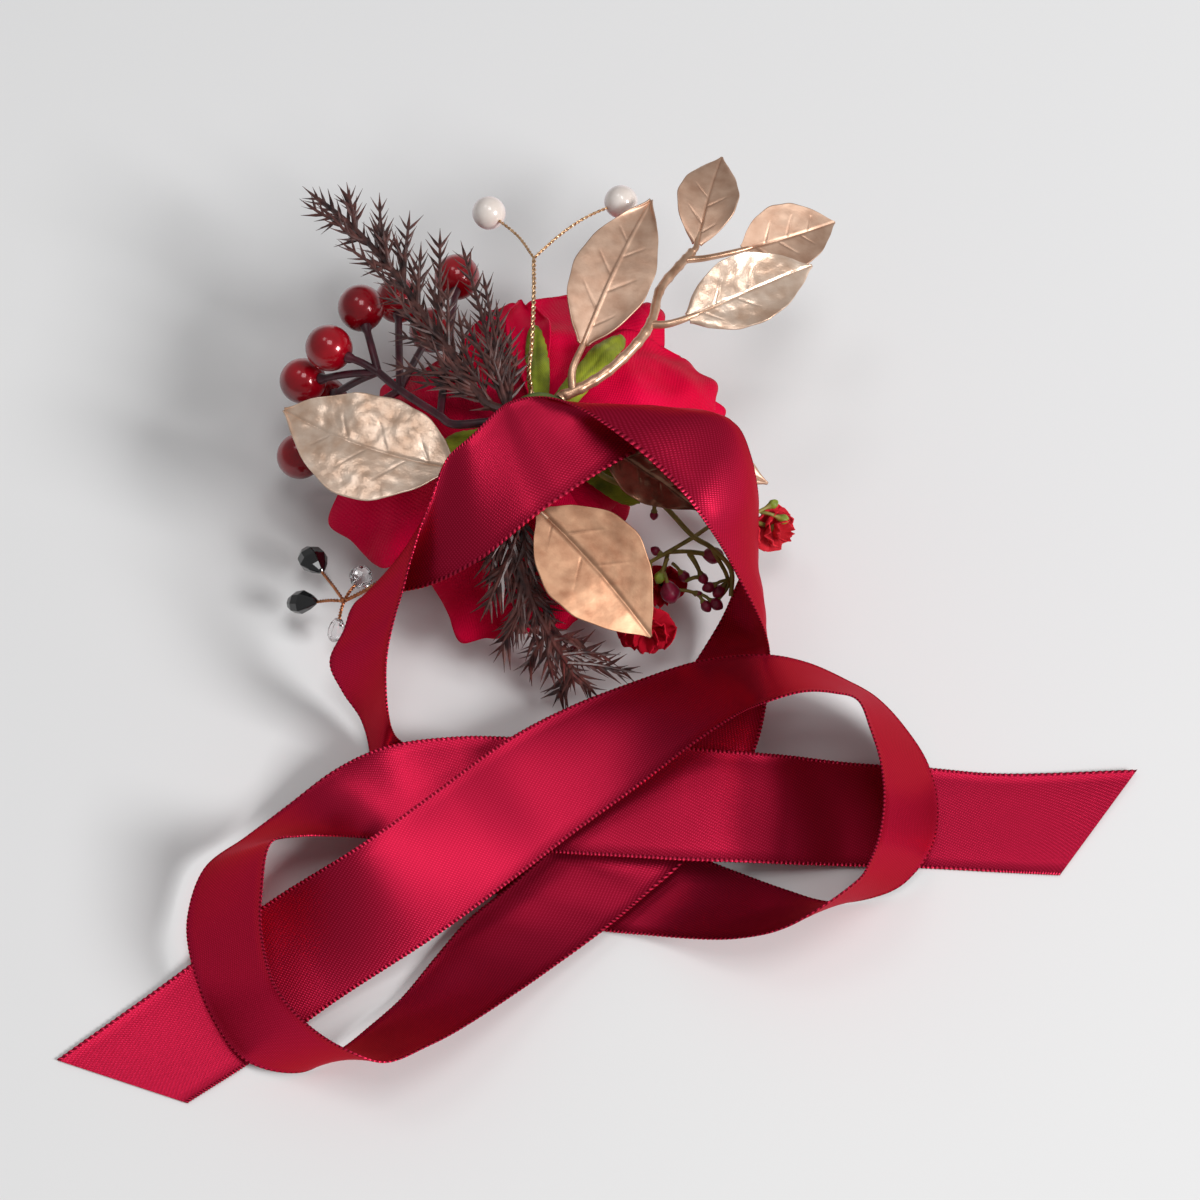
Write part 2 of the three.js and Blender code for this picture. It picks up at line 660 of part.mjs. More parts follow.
function crystal(centre, outward, radius, stretchShare) {
  const side = new THREE.Vector3(0, 0, 1).cross(outward).normalize();
  const up = outward.clone().cross(side);
  return loft(crystalProfileShares.map(([radiusShare, lengthShare]) => (
    Array.from({ length: crystalSides }, (_, k) => {
      const angle = (2 * Math.PI * k) / crystalSides;
      return centre.clone()
        .addScaledVector(outward, -radius * stretchShare * lengthShare)
        .addScaledVector(side, radius * radiusShare * Math.cos(angle))
        .addScaledVector(up, radius * radiusShare * Math.sin(angle));
    })
  )));
}

const hub = place(hubPixel, hubHeightShare);
const crystalRoute = stemRoute([...route(crystalStemPixels, crystalStemHeightShares), hub]);
const crystalWires = [wire(crystalRoute, crystalWireRadius, 5)];
for (const [name, { pixel, heightShare, radius, stretchShare, finish }] of Object.entries(crystals)) {
  const centre = place(pixel, heightShare);
  const outward = centre.clone().sub(hub).normalize();
  const end = centre.clone().addScaledVector(outward, -(radius * stretchShare + seatGap));
  crystalWires.push(wire([hub, end], crystalWireRadius, 5));
  addPiece(name, crystal(centre, outward, radius, stretchShare), finish);
}
addPiece('crystal_wire', fuse(crystalWires), 'copperWire');

// Filler spray: one moulded piece of stems and buds, with small fabric blooms on it.
const fillerStemPixels = [[602, 475], [655, 498], [694, 537], [712, 548], [731, 570], [731, 596]];
const fillerStemHeightShares = [0.8, 0.64, 0.54, 0.5, 0.42, 0.36];
const fillerTwigs = [
  { pixels: [[694, 537], [668, 552], [650, 562]], heightShares: [0.54, 0.48, 0.44], budShare: 0 },
  { pixels: [[694, 537], [714, 524], [735, 518]], heightShares: [0.54, 0.5, 0.44], budShare: 0 },
  { pixels: [[668, 552], [710, 554]], heightShares: [0.48, 0.42], budShare: 1 },
  { pixels: [[690, 553], [702, 577]], heightShares: [0.44, 0.38], budShare: 0.85 },
  { pixels: [[712, 548], [728, 584], [715, 603]], heightShares: [0.5, 0.34, 0.3], budShare: 0.9 },
  { pixels: [[702, 577], [686, 581]], heightShares: [0.38, 0.36], budShare: 0.8 },
  { pixels: [[655, 498], [654, 514]], heightShares: [0.64, 0.58], budShare: 0.6 },
];

const fillerBlooms = {
  filler_bloom_front: {
    pixel: [645, 633], heightShare: 0.26, radius: 5.6, fromPixel: [650, 562], fromHeightShare: 0.44,
  },
  filler_bloom_middle: {
    pixel: [662, 588], heightShare: 0.24, radius: 4.6, fromPixel: [668, 552], fromHeightShare: 0.48,
  },
  filler_bloom_right: {
    pixel: [774, 530], heightShare: 0.3, radius: 4.8, fromPixel: [735, 518], fromHeightShare: 0.44,
  },
};

// A bloom of ruffled petals round the end of its twig, facing away from it.
const bloomProfileShares = [[0.2, -0.5], [0.6, -0.35], [1, 0.05], [0.96, 0.3], [0.5, 0.42], [0.16, 0.5]];
const bloomSides = 20;
const bloomLobes = 5;
const bloomLobeShare = 0.12;

function bloom(centre, outward, radius) {
  const side = new THREE.Vector3(0, 1, 0).cross(outward).normalize();
  const up = outward.clone().cross(side);
  return loft(bloomProfileShares.map(([radiusShare, depthShare]) => (
    Array.from({ length: bloomSides }, (_, k) => {
      const angle = (2 * Math.PI * k) / bloomSides;
      const reach = radius * radiusShare * (1 + bloomLobeShare * radiusShare * Math.cos(bloomLobes * angle));
      return centre.clone()
        .addScaledVector(outward, rosetteThickness * depthShare)
        .addScaledVector(side, reach * Math.cos(angle))
        .addScaledVector(up, reach * Math.sin(angle));
    })
  )));
}

const fillerPieces = [wire(stemRoute(route(fillerStemPixels, fillerStemHeightShares)), fillerStemRadius)];
for (const { pixels, heightShares, budShare } of fillerTwigs) {
  const points = route(pixels, heightShares);
  fillerPieces.push(wire(points, fillerTwigRadius, 5));
  if (budShare > 0) fillerPieces.push(ball(points[points.length - 1], budRadius * budShare, 8, 6));
}
for (const [name, flower] of Object.entries(fillerBlooms)) {
  const centre = place(flower.pixel, flower.heightShare);
  const from = place(flower.fromPixel, flower.fromHeightShare);
  const outward = centre.clone().sub(from).normalize();
  const end = centre.clone().addScaledVector(outward, -(rosetteThickness / 2 + seatGap));
  fillerPieces.push(wire([from, end], fillerTwigRadius, 5));
  addPiece(name, bloom(centre, outward, flower.radius), 'fillerBloom');
}
addPiece('filler_spray', fuse(fillerPieces), 'fillerStem');

// The ribbon, from one cut end to the other: both selvages at each station.
const ribbonStretches = {
  leftTail: {
    pixels: [
      [57, 1060, 187, 1103], [190, 965, 257, 1058], [265, 905, 333, 1003], [360, 845, 430, 940],
      [440, 788, 510, 882], [505, 741, 575, 832], [570, 707, 636, 788], [640, 680, 692, 745],
      [700, 661, 735, 716], [765, 655, 765, 703], [805, 662, 802, 692], [845, 680, 836, 693],
    ],
    heightShares: [
      [0.01, 0.01], [0.03, 0.02], [0.1, 0.07], [0.26, 0.15], [0.25, 0.2], [0.23, 0.22], [0.22, 0.28],
      [0.22, 0.41], [0.27, 0.55], [0.44, 0.74], [0.39, 0.75], [0.29, 0.67],
    ],
  },
  rightLoop: {
    pixels: [
      [875, 697, 858, 700], [905, 728, 870, 728], [928, 765, 880, 760], [938, 810, 884, 800],
      [930, 850, 878, 840], [905, 882, 868, 865], [880, 895, 860, 878], [831, 902, 790, 925],
    ],
    heightShares: [
      [0.2, 0.61], [0.14, 0.57], [0.1, 0.53], [0.1, 0.52], [0.1, 0.52], [0.07, 0.49],
      [0.04, 0.48], [0.02, 0.38],
    ],
  },
  lowerRun: {
    pixels: [
      [783, 889, 740, 938], [705, 860, 650, 935], [620, 829, 583, 927], [540, 799, 503, 897],
      [485, 775, 455, 868],
    ],
    heightShares: [[0.02, 0.28], [0.02, 0.06], [0.02, 0.02], [0.02, 0.02], [0.04, 0.02]],
  },
  leftArm: {
    pixels: [
      [450, 760, 424, 852], [422, 750, 393, 845], [402, 742, 364, 822], [390, 722, 366, 768],
      [386, 690, 358, 718], [387, 655, 337, 690], [394, 620, 330, 662], [402, 593, 344, 630],
      [410, 563, 353, 606], [420, 530, 370, 594], [432, 498, 396, 592], [446, 460, 433, 584],
      [470, 437, 480, 560], [500, 408, 530, 520],
    ],
    heightShares: [
      [0.07, 0.02], [0.1, 0.02], [0.16, 0.02], [0.4, 0.03], [0.55, 0.1], [0.6, 0.18], [0.66, 0.27],
      [0.72, 0.36], [0.78, 0.43], [0.82, 0.48], [0.86, 0.58], [0.91, 0.72], [0.965, 0.86], [0.97, 0.955],
    ],
  },
  crown: {
    pixels: [
      [510, 402, 565, 495], [531, 397, 607, 468], [555, 399, 650, 444], [580, 409, 690, 424],
      [612, 430, 720, 418], [645, 456, 738, 428], [680, 490, 750, 455], [705, 522, 757, 490],
    ],
    heightShares: [
      [0.965, 0.96], [0.98, 0.96], [1.06, 0.96], [1.14, 0.96], [1.14, 0.97], [1.12, 0.98],
      [1.04, 0.92], [0.96, 0.8],
    ],
  },
  rightArm: {
    pixels: [
      [722, 548, 757, 520], [738, 577, 752, 555], [755, 610, 738, 582], [767, 640, 722, 618],
      [770, 665, 700, 655], [766, 705, 670, 700], [755, 750, 640, 745], [722, 808, 600, 795],
      [683, 862, 560, 840],
    ],
    heightShares: [
      [0.86, 0.52], [0.75, 0.34], [0.62, 0.2], [0.45, 0.09], [0.31, 0.03], [0.18, 0.03], [0.1, 0.05],
      [0.1, 0.06], [0.1, 0.07],
    ],
  },
  middleRun: {
    pixels: [
      [648, 893, 545, 855], [610, 925, 505, 890], [560, 962, 468, 920], [520, 990, 435, 958],
      [470, 1023, 400, 1000], [430, 1045, 368, 1028],
    ],
    heightShares: [[0.09, 0.06], [0.08, 0.05], [0.1, 0.04], [0.16, 0.04], [0.26, 0.04], [0.34, 0.05]],
  },
  leftLoop: {
    pixels: [
      [385, 1062, 343, 1048], [343, 1048, 300, 1072], [306, 1023, 245, 1060], [275, 985, 212, 1018],
      [262, 935, 190, 955], [262, 890, 188, 915], [272, 842, 205, 868],
    ],
    heightShares: [
      [0.38, 0.04], [0.42, 0.03], [0.44, 0.06], [0.46, 0.08], [0.46, 0.1], [0.46, 0.08], [0.48, 0.08],
    ],
  },
  rightTail: {
    pixels: [
      [300, 836, 245, 838], [335, 836, 290, 804], [365, 838, 335, 770], [420, 842, 385, 747],
      [480, 847, 455, 737], [545, 852, 525, 738], [610, 856, 610, 742], [680, 860, 690, 748],
      [740, 862, 745, 752], [790, 864, 790, 756], [850, 866, 850, 763], [925, 868, 925, 768],
      [1000, 872, 1000, 774], [1060, 875, 1137, 770],
    ],
    heightShares: [
      [0.44, 0.08], [0.34, 0.1], [0.21, 0.18], [0.15, 0.27], [0.13, 0.22], [0.13, 0.13], [0.15, 0.14],
      [0.16, 0.16], [0.15, 0.16], [0.1, 0.1], [0.03, 0.03], [0.01, 0.01], [0.01, 0.01], [0.01, 0.03],
    ],
  },
};

// Where the ribbon bends across its width, its middle is given as well.
const ribbonMiddlePixels = {
  crown: { 2: [598, 416], 3: [636, 406], 4: [678, 410], 5: [706, 422] },
  rightArm: { 0: [752, 534], 1: [757, 566], 2: [763, 598], 3: [756, 634] },
};
const ribbonMiddleShares = {
  crown: { 2: 0.98, 3: 1.07, 4: 1.11, 5: 1.12 },
  rightArm: { 0: 0.7, 1: 0.56, 2: 0.42, 3: 0.24 },
};

function ribbonStations() {
  const near = [];
  const middle = [];
  const far = [];
  for (const [name, { pixels, heightShares }] of Object.entries(ribbonStretches)) {
    pixels.forEach(([pu, pv, qu, qv], i) => {
      const p = place([pu, pv], heightShares[i][0]);
      const q = place([qu, qv], heightShares[i][1]);
      const centre = p.clone().add(q).multiplyScalar(0.5);
      const middlePixel = ribbonMiddlePixels[name]?.[i];
      const m = middlePixel ? place(middlePixel, ribbonMiddleShares[name][i]) : centre.clone();
      const widen = ribbonWidth / ribbonWidthSeen;
      near.push(p.sub(centre).multiplyScalar(widen).add(centre));
      far.push(q.sub(centre).multiplyScalar(widen).add(centre));
      middle.push(m.sub(centre).multiplyScalar(widen).add(centre));
    });
  }
  return [near, middle, far].map((points) => new THREE.CatmullRomCurve3(points, false, 'centripetal'));
}

// The ribbon is lofted through its stations, and lies on the table where it is lowest.
function ribbon() {
  const curves = ribbonStations();
  const steps = ribbonPleatSteps * (curves[0].points.length - 1);
  const rows = [];
  for (let i = 0; i <= steps; i += 1) {
    rows.push(curves.map((curve) => {
      const point = curve.getPoint(i / steps);
      point.z = Math.max(point.z, ribbonThickness / 2);
      return point;
    }));
  }
  return sheet(rows, (i, j) => {
    const along = rows[Math.min(i + 1, rows.length - 1)][j].clone().sub(rows[Math.max(i - 1, 0)][j]);
    const across = rows[i][Math.min(j + 1, 2)].clone().sub(rows[i][Math.max(j - 1, 0)]);
    return across.cross(along).setLength(ribbonThickness);
  });
}
addPiece('satin_ribbon', ribbon(), 'ribbon');

// The origin is under the middle of the whole corsage, on the table.
const box = new THREE.Box3().setFromObject(corsage);
const middle = box.getCenter(new THREE.Vector3());
corsage.position.set(-middle.x, -middle.y, -box.min.z);

export default corsage;
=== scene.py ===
import math
import random

import bpy
from mathutils import Matrix, Vector, noise


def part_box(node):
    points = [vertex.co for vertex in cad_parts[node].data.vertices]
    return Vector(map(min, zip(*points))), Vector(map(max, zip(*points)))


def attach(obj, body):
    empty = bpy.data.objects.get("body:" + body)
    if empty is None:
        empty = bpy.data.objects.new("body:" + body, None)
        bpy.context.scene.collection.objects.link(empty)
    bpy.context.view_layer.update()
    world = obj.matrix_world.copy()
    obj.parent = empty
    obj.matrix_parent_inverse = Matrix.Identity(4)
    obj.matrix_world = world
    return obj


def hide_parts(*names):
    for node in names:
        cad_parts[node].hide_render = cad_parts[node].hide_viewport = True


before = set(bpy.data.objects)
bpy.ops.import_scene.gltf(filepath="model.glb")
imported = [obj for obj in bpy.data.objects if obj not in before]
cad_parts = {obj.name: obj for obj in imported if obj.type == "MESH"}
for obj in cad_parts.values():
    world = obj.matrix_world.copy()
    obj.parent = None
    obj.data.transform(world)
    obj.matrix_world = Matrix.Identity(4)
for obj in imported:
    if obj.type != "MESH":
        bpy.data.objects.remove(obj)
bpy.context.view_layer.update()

# The view of the photograph: an eye above the near side of the table, in metres.
MM = 0.001
EYE_DISTANCE = 0.650
EYE_FOCAL_PIXELS = 2990
EYE_ELEVATION = math.radians(64)
CENTRE_PIXEL = 600
IMAGE_PIXELS = 1200
SENSOR_WIDTH = 36
BACK_HEIGHT = 0.050
PAD_PIXEL = (552, 438)

EYE_FORWARD = Vector((0, math.cos(EYE_ELEVATION), -math.sin(EYE_ELEVATION)))
EYE_UP = Vector((0, math.sin(EYE_ELEVATION), math.cos(EYE_ELEVATION)))
EYE = -EYE_FORWARD * EYE_DISTANCE


def sight(pixel, height):
    ray = EYE_FORWARD + EYE_UP * ((CENTRE_PIXEL - pixel[1]) / EYE_FOCAL_PIXELS)
    ray.x += (pixel[0] - CENTRE_PIXEL) / EYE_FOCAL_PIXELS
    return EYE + ray * ((height - EYE.z) / ray.z)


pad_low, pad_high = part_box("backing_pad")
table_shift = (pad_low + pad_high) / 2 - sight(PAD_PIXEL, pad_low.z)
table_shift.z = 0


def seen_at(pixel, height):
    """The point at that height that the photograph shows at that pixel."""
    return sight(pixel, height) + table_shift


def place(pixel, height_share):
    return seen_at(pixel, height_share * BACK_HEIGHT)


def route(pixels, height_shares):
    return [place(pixel, share) for pixel, share in zip(pixels, height_shares)]


def level_way(angle):
    return Vector((math.cos(angle), math.sin(angle), 0))


# Smooth courses through points.
def course(points):
    """A function of 0 to 1 that runs smoothly through the points."""
    last = len(points) - 1

    def at(share):
        spot = min(max(share, 0), 1) * last
        k = min(int(spot), last - 1)
        step = spot - k
        p1, p2 = points[k], points[k + 1]
        p0 = points[k - 1] if k > 0 else 2 * p1 - p2
        p3 = points[k + 2] if k + 2 <= last else 2 * p2 - p1
        d0, d1, d2 = (math.sqrt((q - p).length) for p, q in ((p0, p1), (p1, p2), (p2, p3)))
        start = ((p1 - p0) / d0 - (p2 - p0) / (d0 + d1) + (p2 - p1) / d1) * d1
        end = ((p2 - p1) / d1 - (p3 - p1) / (d1 + d2) + (p3 - p2) / d2) * d1
        square = -3 * p1 + 3 * p2 - 2 * start - end
        cube = 2 * p1 - 2 * p2 + start + end
        return p1 + start * step + square * step**2 + cube * step**3

    return at


def even_shares(at, pitch, samples=3000):
    """Shares of a course that lie a pitch apart along it, and its length."""
    lengths = [0.0]
    before = at(0)
    for k in range(1, samples + 1):
        here = at(k / samples)
        lengths.append(lengths[-1] + (here - before).length)
        before = here
    count = max(2, round(lengths[-1] / pitch))
    shares = []
    k = 0
    for i in range(count + 1):
        wanted = lengths[-1] * i / count
        while k < samples - 1 and lengths[k + 1] < wanted:
            k += 1
        span = max(lengths[k + 1] - lengths[k], 1e-9)
        shares.append((k + min(1, (wanted - lengths[k]) / span)) / samples)
    return shares, lengths[-1]


def table_value(table, share):
    """A smooth value between the rows (share, value) of a table."""
    for k in range(len(table) - 1):
        if share <= table[k + 1][0] or k == len(table) - 2:
            break
    (x1, y1), (x2, y2) = table[k], table[k + 1]
    x0, y0 = table[k - 1] if k > 0 else (2 * x1 - x2, y1)
    x3, y3 = table[k + 2] if k + 2 < len(table) else (2 * x2 - x1, y2)
    t = (share - x1) / (x2 - x1)
    m1 = (y2 - y0) / (x2 - x0) * (x2 - x1)
    m2 = (y3 - y1) / (x3 - x1) * (x2 - x1)
    return (
        (2 * t**3 - 3 * t**2 + 1) * y1 + (t**3 - 2 * t**2 + t) * m1 + (3 * t**2 - 2 * t**3) * y2 + (t**3 - t**2) * m2
    )


# Work at the bench.
def nothing_selected():
    for piece in list(bpy.context.selected_objects):
        piece.select_set(False)


def only(piece):
    nothing_selected()
    piece.select_set(True)
    bpy.context.view_layer.objects.active = piece


def linked(name, data):
    piece = bpy.data.objects.new(name, data)
    bpy.context.collection.objects.link(piece)
    return piece


def ball(segments, rings, radius):
    nothing_selected()
    bpy.ops.mesh.primitive_uv_sphere_add(segments=segments, ring_count=rings, radius=radius)
    return bpy.context.active_object


def shaped(piece, shape):
    """The piece, with each point of its mesh moved to shape(x, y, z)."""
    for vertex in piece.data.vertices:
        vertex.co = shape(*vertex.co)
    return piece


def modify(piece, name, kind, **settings):
    modifier = piece.modifiers.new(name, kind)
    for key, value in settings.items():
        setattr(modifier, key, value)
    only(piece)
    bpy.ops.object.modifier_apply(modifier=modifier.name)


def smooth(piece, angle=180):
    only(piece)
    if angle >= 180:
        bpy.ops.object.shade_smooth()
    else:
        bpy.ops.object.shade_smooth_by_angle(angle=math.radians(angle))


def join(pieces, name):
    nothing_selected()
    for piece in pieces:
        piece.select_set(True)
    bpy.context.view_layer.objects.active = pieces[0]
    bpy.ops.object.join()
    whole = bpy.context.active_object
    whole.name = name
    return whole


def copy_of(piece, turn, name):
    """A copy with a mesh of its own, put in its place by turn."""
    data = piece.data.copy()
    data.transform(turn)
    return linked(name, data)


def facing(direction, point, roll=0.0, scale=1.0):
    """A turn that takes +Z to a direction and the origin to a point."""
    turn = direction.to_track_quat("Z", "Y").to_matrix().to_4x4()
    return Matrix.Translation(point) @ turn @ Matrix.Rotation(roll, 4, "Z") @ Matrix.Scale(scale, 4)


def laid_grid(name, across, along, lay, thickness):
    """A grid sheet, laid out by lay(side, share) with side -1 to 1 and share 0 to 1, then given its wall."""
    nothing_selected()
    bpy.ops.mesh.primitive_grid_add(x_subdivisions=across, y_subdivisions=along, size=2)
    sheet = bpy.context.active_object
    sheet.name = name
    shaped(sheet, lambda x, y, z: lay(x, (y + 1) / 2))
    modify(sheet, "wall", "SOLIDIFY", thickness=thickness, offset=0, use_even_offset=False)
    smooth(sheet)
    return sheet


def tubes(name, runs, rounds=2):
    """Round wires or stems in one piece: each run is a list of (point, radius)."""
    curve = bpy.data.curves.new(name, "CURVE")
    curve.dimensions = "3D"
    curve.bevel_depth = 1
    curve.bevel_resolution = rounds
    curve.use_fill_caps = True
    for run in runs:
        spline = curve.splines.new("POLY")
        spline.points.add(len(run) - 1)
        for spot, (point, radius) in zip(spline.points, run):
            spot.co = (*point, 1)
            spot.radius = radius
    only(linked(name, curve))
    bpy.ops.object.convert(target="MESH")
    piece = bpy.context.active_object
    smooth(piece, 60)
    return piece


def arched(start, end, lift):
    """Points from start to end, with the middle lifted by some millimetres."""
    return [start, (start + end) / 2 + Vector((0, 0, lift * MM)), end]


def tapered(points, start_radius, end_radius, pitch=0.8 * MM):
    """A run for tubes() along the points; its radii are in millimetres."""
    at = course(points)
    shares, _ = even_shares(at, pitch)
    return [(at(s), (start_radius + (end_radius - start_radius) * s) * MM) for s in shares]


def flared(run, *radii):
    """The run, with its last radii in millimetres widened where a stem meets what it carries."""
    kept = len(run) - len(radii)
    return run[:kept] + [(point, radius * MM) for (point, _), radius in zip(run[kept:], radii)]


def twisted(points, strand_radius, turn_length, pitch=0.25 * MM):
    """Two strands of wire, twisted round each other along points; radius and turn are in millimetres."""
    at = course(points)
    shares, length = even_shares(at, pitch)
    spots = [at(s) for s in shares]
    side = (spots[1] - spots[0]).orthogonal().normalized()
    strands = ([], [])
    for k, spot in enumerate(spots):
        ahead = (spots[min(k + 1, len(spots) - 1)] - spots[max(k - 1, 0)]).normalized()
        side = (side - ahead * side.dot(ahead)).normalized()
        angle = 2 * math.pi * length * k / (len(spots) - 1) / (turn_length * MM)
        out = side * math.cos(angle) + ahead.cross(side) * math.sin(angle)
        for strand, hand in zip(strands, (1, -1)):
            strand.append((spot + out * hand * strand_radius * 1.1 * MM, strand_radius * MM))
    return list(strands)


def wear(piece, *materials):
    piece.data.materials.clear()
    for material in materials:
        piece.data.materials.append(material)


def dress(piece, slot, material, *nodes):
    """Gives a finished piece its material and its body, and hides the nodes it stands for. The slot is not used."""
    if material:
        wear(piece, material)
    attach(piece, "root")
    if nodes:
        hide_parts(*nodes)


# Materials. A colour is (red, green, blue) as seen, 0 to 255; one with a fourth value is light already.
ONE_BAND = 0.314159    # the scale at which a Wave Texture has one band to a unit


def linear(colour):
    if len(colour) == 4:
        return colour
    shares = [value / 255 for value in colour]
    return (*(s / 12.92 if s <= 0.04045 else ((s + 0.055) / 1.055) ** 2.4 for s in shares), 1)


def feed(socket, value):
    """Gives a socket another node's output, a colour or a number."""
    if isinstance(value, bpy.types.NodeSocket):
        socket.id_data.links.new(value, socket)
    else:
        socket.default_value = linear(value) if socket.type == "RGBA" else value


def node(tree, kind, **settings):
    made = tree.nodes.new("ShaderNode" + kind)
    for key, value in settings.items():
        if hasattr(made, key):
            setattr(made, key, value)
        else:
            feed(made.inputs[key.replace("_", " ")], value)
    return made


def finish(name, colour, roughness, metallic=0.0, **sockets):
    """A material and its shader."""
    material = bpy.data.materials.new(name)
    material.use_nodes = True
    shader = material.node_tree.nodes["Principled BSDF"]
    sockets.update(Base_Color=colour, Roughness=roughness, Metallic=metallic)
    for key, value in sockets.items():
        feed(shader.inputs[key.replace("_", " ")], value)
    return material, shader


def spots_of(tree, kind="Object"):
    return node(tree, "TexCoord").outputs[kind]


def clouds(tree, scale, detail):
    return node(tree, "TexNoise", Vector=spots_of(tree), Scale=scale, Detail=detail).outputs["Fac"]


def mottle(shader, dark, light, scale, detail=3.0):
    """Colour that wanders between two shades."""
    ramp = node(shader.id_data, "ValToRGB", Fac=clouds(shader.id_data, scale, detail))
    for stop, position, colour in zip(ramp.color_ramp.elements, (0.3, 0.72), (dark, light)):
        stop.position = position
        stop.color = linear(colour)
    feed(shader.inputs["Base Color"], ramp.outputs["Color"])
    return ramp.outputs["Color"]


def relief(shader, height, depth, strength=1.0, under=None):
    """Relief of a depth in millimetres, over the relief under it."""
    bump = node(shader.id_data, "Bump", Strength=strength, Distance=depth * MM, Height=height)
    if under:
        feed(bump.inputs["Normal"], under)
    feed(shader.inputs["Normal"], bump.outputs["Normal"])
    return bump.outputs["Normal"]


def grain(shader, scale, depth, detail=4.0, under=None):
    return relief(shader, clouds(shader.id_data, scale, detail), depth, under=under)


def threads(tree, size, turn, pitch):
    """Fine parallel threads on the UV map, whose unit square is size (width, length) in millimetres."""
    scaled = node(tree, "Mapping", Vector=spots_of(tree, "UV"), Scale=(*size, 1))
    turned = node(tree, "Mapping", Vector=scaled.outputs["Vector"], Rotation=(0, 0, math.radians(turn)))
    return node(
        tree, "TexWave", Vector=turned.outputs["Vector"], bands_direction="X", Scale=ONE_BAND / pitch,
        Distortion=0.5, Detail_Scale=2,
    ).outputs["Fac"]


def combined(tree, operation, first, second=0):
    maths = node(tree, "Math", operation=operation)
    feed(maths.inputs[0], first)
    feed(maths.inputs[1], second)
    return maths.outputs[0]


def mixed(tree, factor, first, second):
    mix = node(tree, "Mix", data_type="RGBA")
    for k, value in ((0, factor), (6, first), (7, second)):
        feed(mix.inputs[k], value)
    return mix.outputs[2]


def satin():
    """Wine-red satin: a lustrous weave of slanted floats between corded picot selvages, whose picots carry painted
    shade and painted highlight as alternating dark and light dashes.
    """
    material, shader = finish(
        "wine_satin", (192, 30, 60), 0.36, 0.84,
        Anisotropic=0.5, Specular_IOR_Level=0.25, Specular_Tint=(255, 110, 140),
    )
    tree = shader.id_data
    feed(shader.inputs["Tangent"], node(tree, "Tangent", direction_type="UV_MAP", uv_map="cloth").outputs["Tangent"])
    weave = combined(tree, "MULTIPLY", threads(tree, (25, 25), 58, 0.46), threads(tree, (25, 25), -24, 0.62))
    spot = spots_of(tree, "UV")
    from_middle = combined(tree, "SUBTRACT", node(tree, "SeparateXYZ", Vector=spot).outputs["X"], 0.5)
    selvage = combined(tree, "GREATER_THAN", combined(tree, "ABSOLUTE", from_middle), 0.474)
    picot_relief_and_painted_shade = node(tree, "TexWave", Vector=spot, bands_direction="Y", Scale=ONE_BAND * 25 / 0.95).outputs["Fac"]
    field = mixed(tree, weave, (164, 21, 49), (206, 40, 80))
    # Painted shade and painted highlight: the selvage band alternates dark and light at each picot.
    edge = mixed(tree, picot_relief_and_painted_shade, (106, 10, 27), (204, 42, 76))
    feed(shader.inputs["Base Color"], mixed(tree, selvage, field, edge))
    corded = relief(shader, combined(tree, "MULTIPLY", picot_relief_and_painted_shade, selvage), 0.1, 0.8)
    relief(shader, combined(tree, "ADD", weave, clouds(tree, 60.0, 2.0)), 0.04, 0.5, under=corded)
    return material


def petal_cloth(name, dark, light):
    material, shader = finish(name, light, 0.62, 0.15, Specular_IOR_Level=0.2, Specular_Tint=(255, 120, 150))
    mottle(shader, dark, light, 55.0, 2.0)
    weave = combined(shader.id_data, "ADD", *(threads(shader.id_data, (30, 40), turn, 0.6) for turn in (40, -50)))
    relief(shader, weave, 0.06, 0.9, under=grain(shader, 350.0, 0.1, 3.0))
    return material


def leaf_cloth():
    material, shader = finish("green_cloth", (120, 130, 26), 0.7, Sheen_Weight=0.1, Specular_IOR_Level=0.25)
    mottle(shader, (84, 94, 8), (164, 176, 42), 140.0)
    weave = threads(shader.id_data, (8, 20), 45, 0.5)
    relief(shader, weave, 0.04, 0.8, under=grain(shader, 600.0, 0.1))
    return material


def foil(name, dark, light, roughness, depth, metallic=0.8):
    """Rose-gold foil, finely crumpled to a depth in millimetres, with painted shade that turns it brown where the
    leaf's mask marks vein and midrib grooves and wrinkles.
    """
    material, shader = finish(name, light, roughness, metallic)
    plain = mottle(shader, dark, light, 260.0, 5.0)
    # Painted shade: the leaf's per-point mask mixes the foil towards dark brown (84, 44, 26).
    pressed = node(shader.id_data, "Attribute", attribute_name="pressed").outputs["Fac"]
    feed(shader.inputs["Base Color"], mixed(shader.id_data, pressed, plain, (84, 44, 26)))
    grain(shader, 2400.0, depth * 0.25, 2.0, under=grain(shader, 420.0, depth, 3.0))
    return material


def grained(name, dark, light, roughness, scale, depth, metallic=0.0, finer=4, detail=3.0, **sockets):
    """A mottled finish with a grain some times finer than its mottle, and a depth in millimetres."""
    material, shader = finish(name, light, roughness, metallic, **sockets)
    mottle(shader, dark, light, scale, detail)
    grain(shader, scale * finer, depth)
    return material


def glass(name, colour, roughness, weight):
    material, shader = finish(
        name, colour, roughness, Transmission_Weight=weight, IOR=1.56, Coat_Weight=0.6, Coat_Roughness=0.02,
    )
    grain(shader, 900.0, 0.004)
    return material


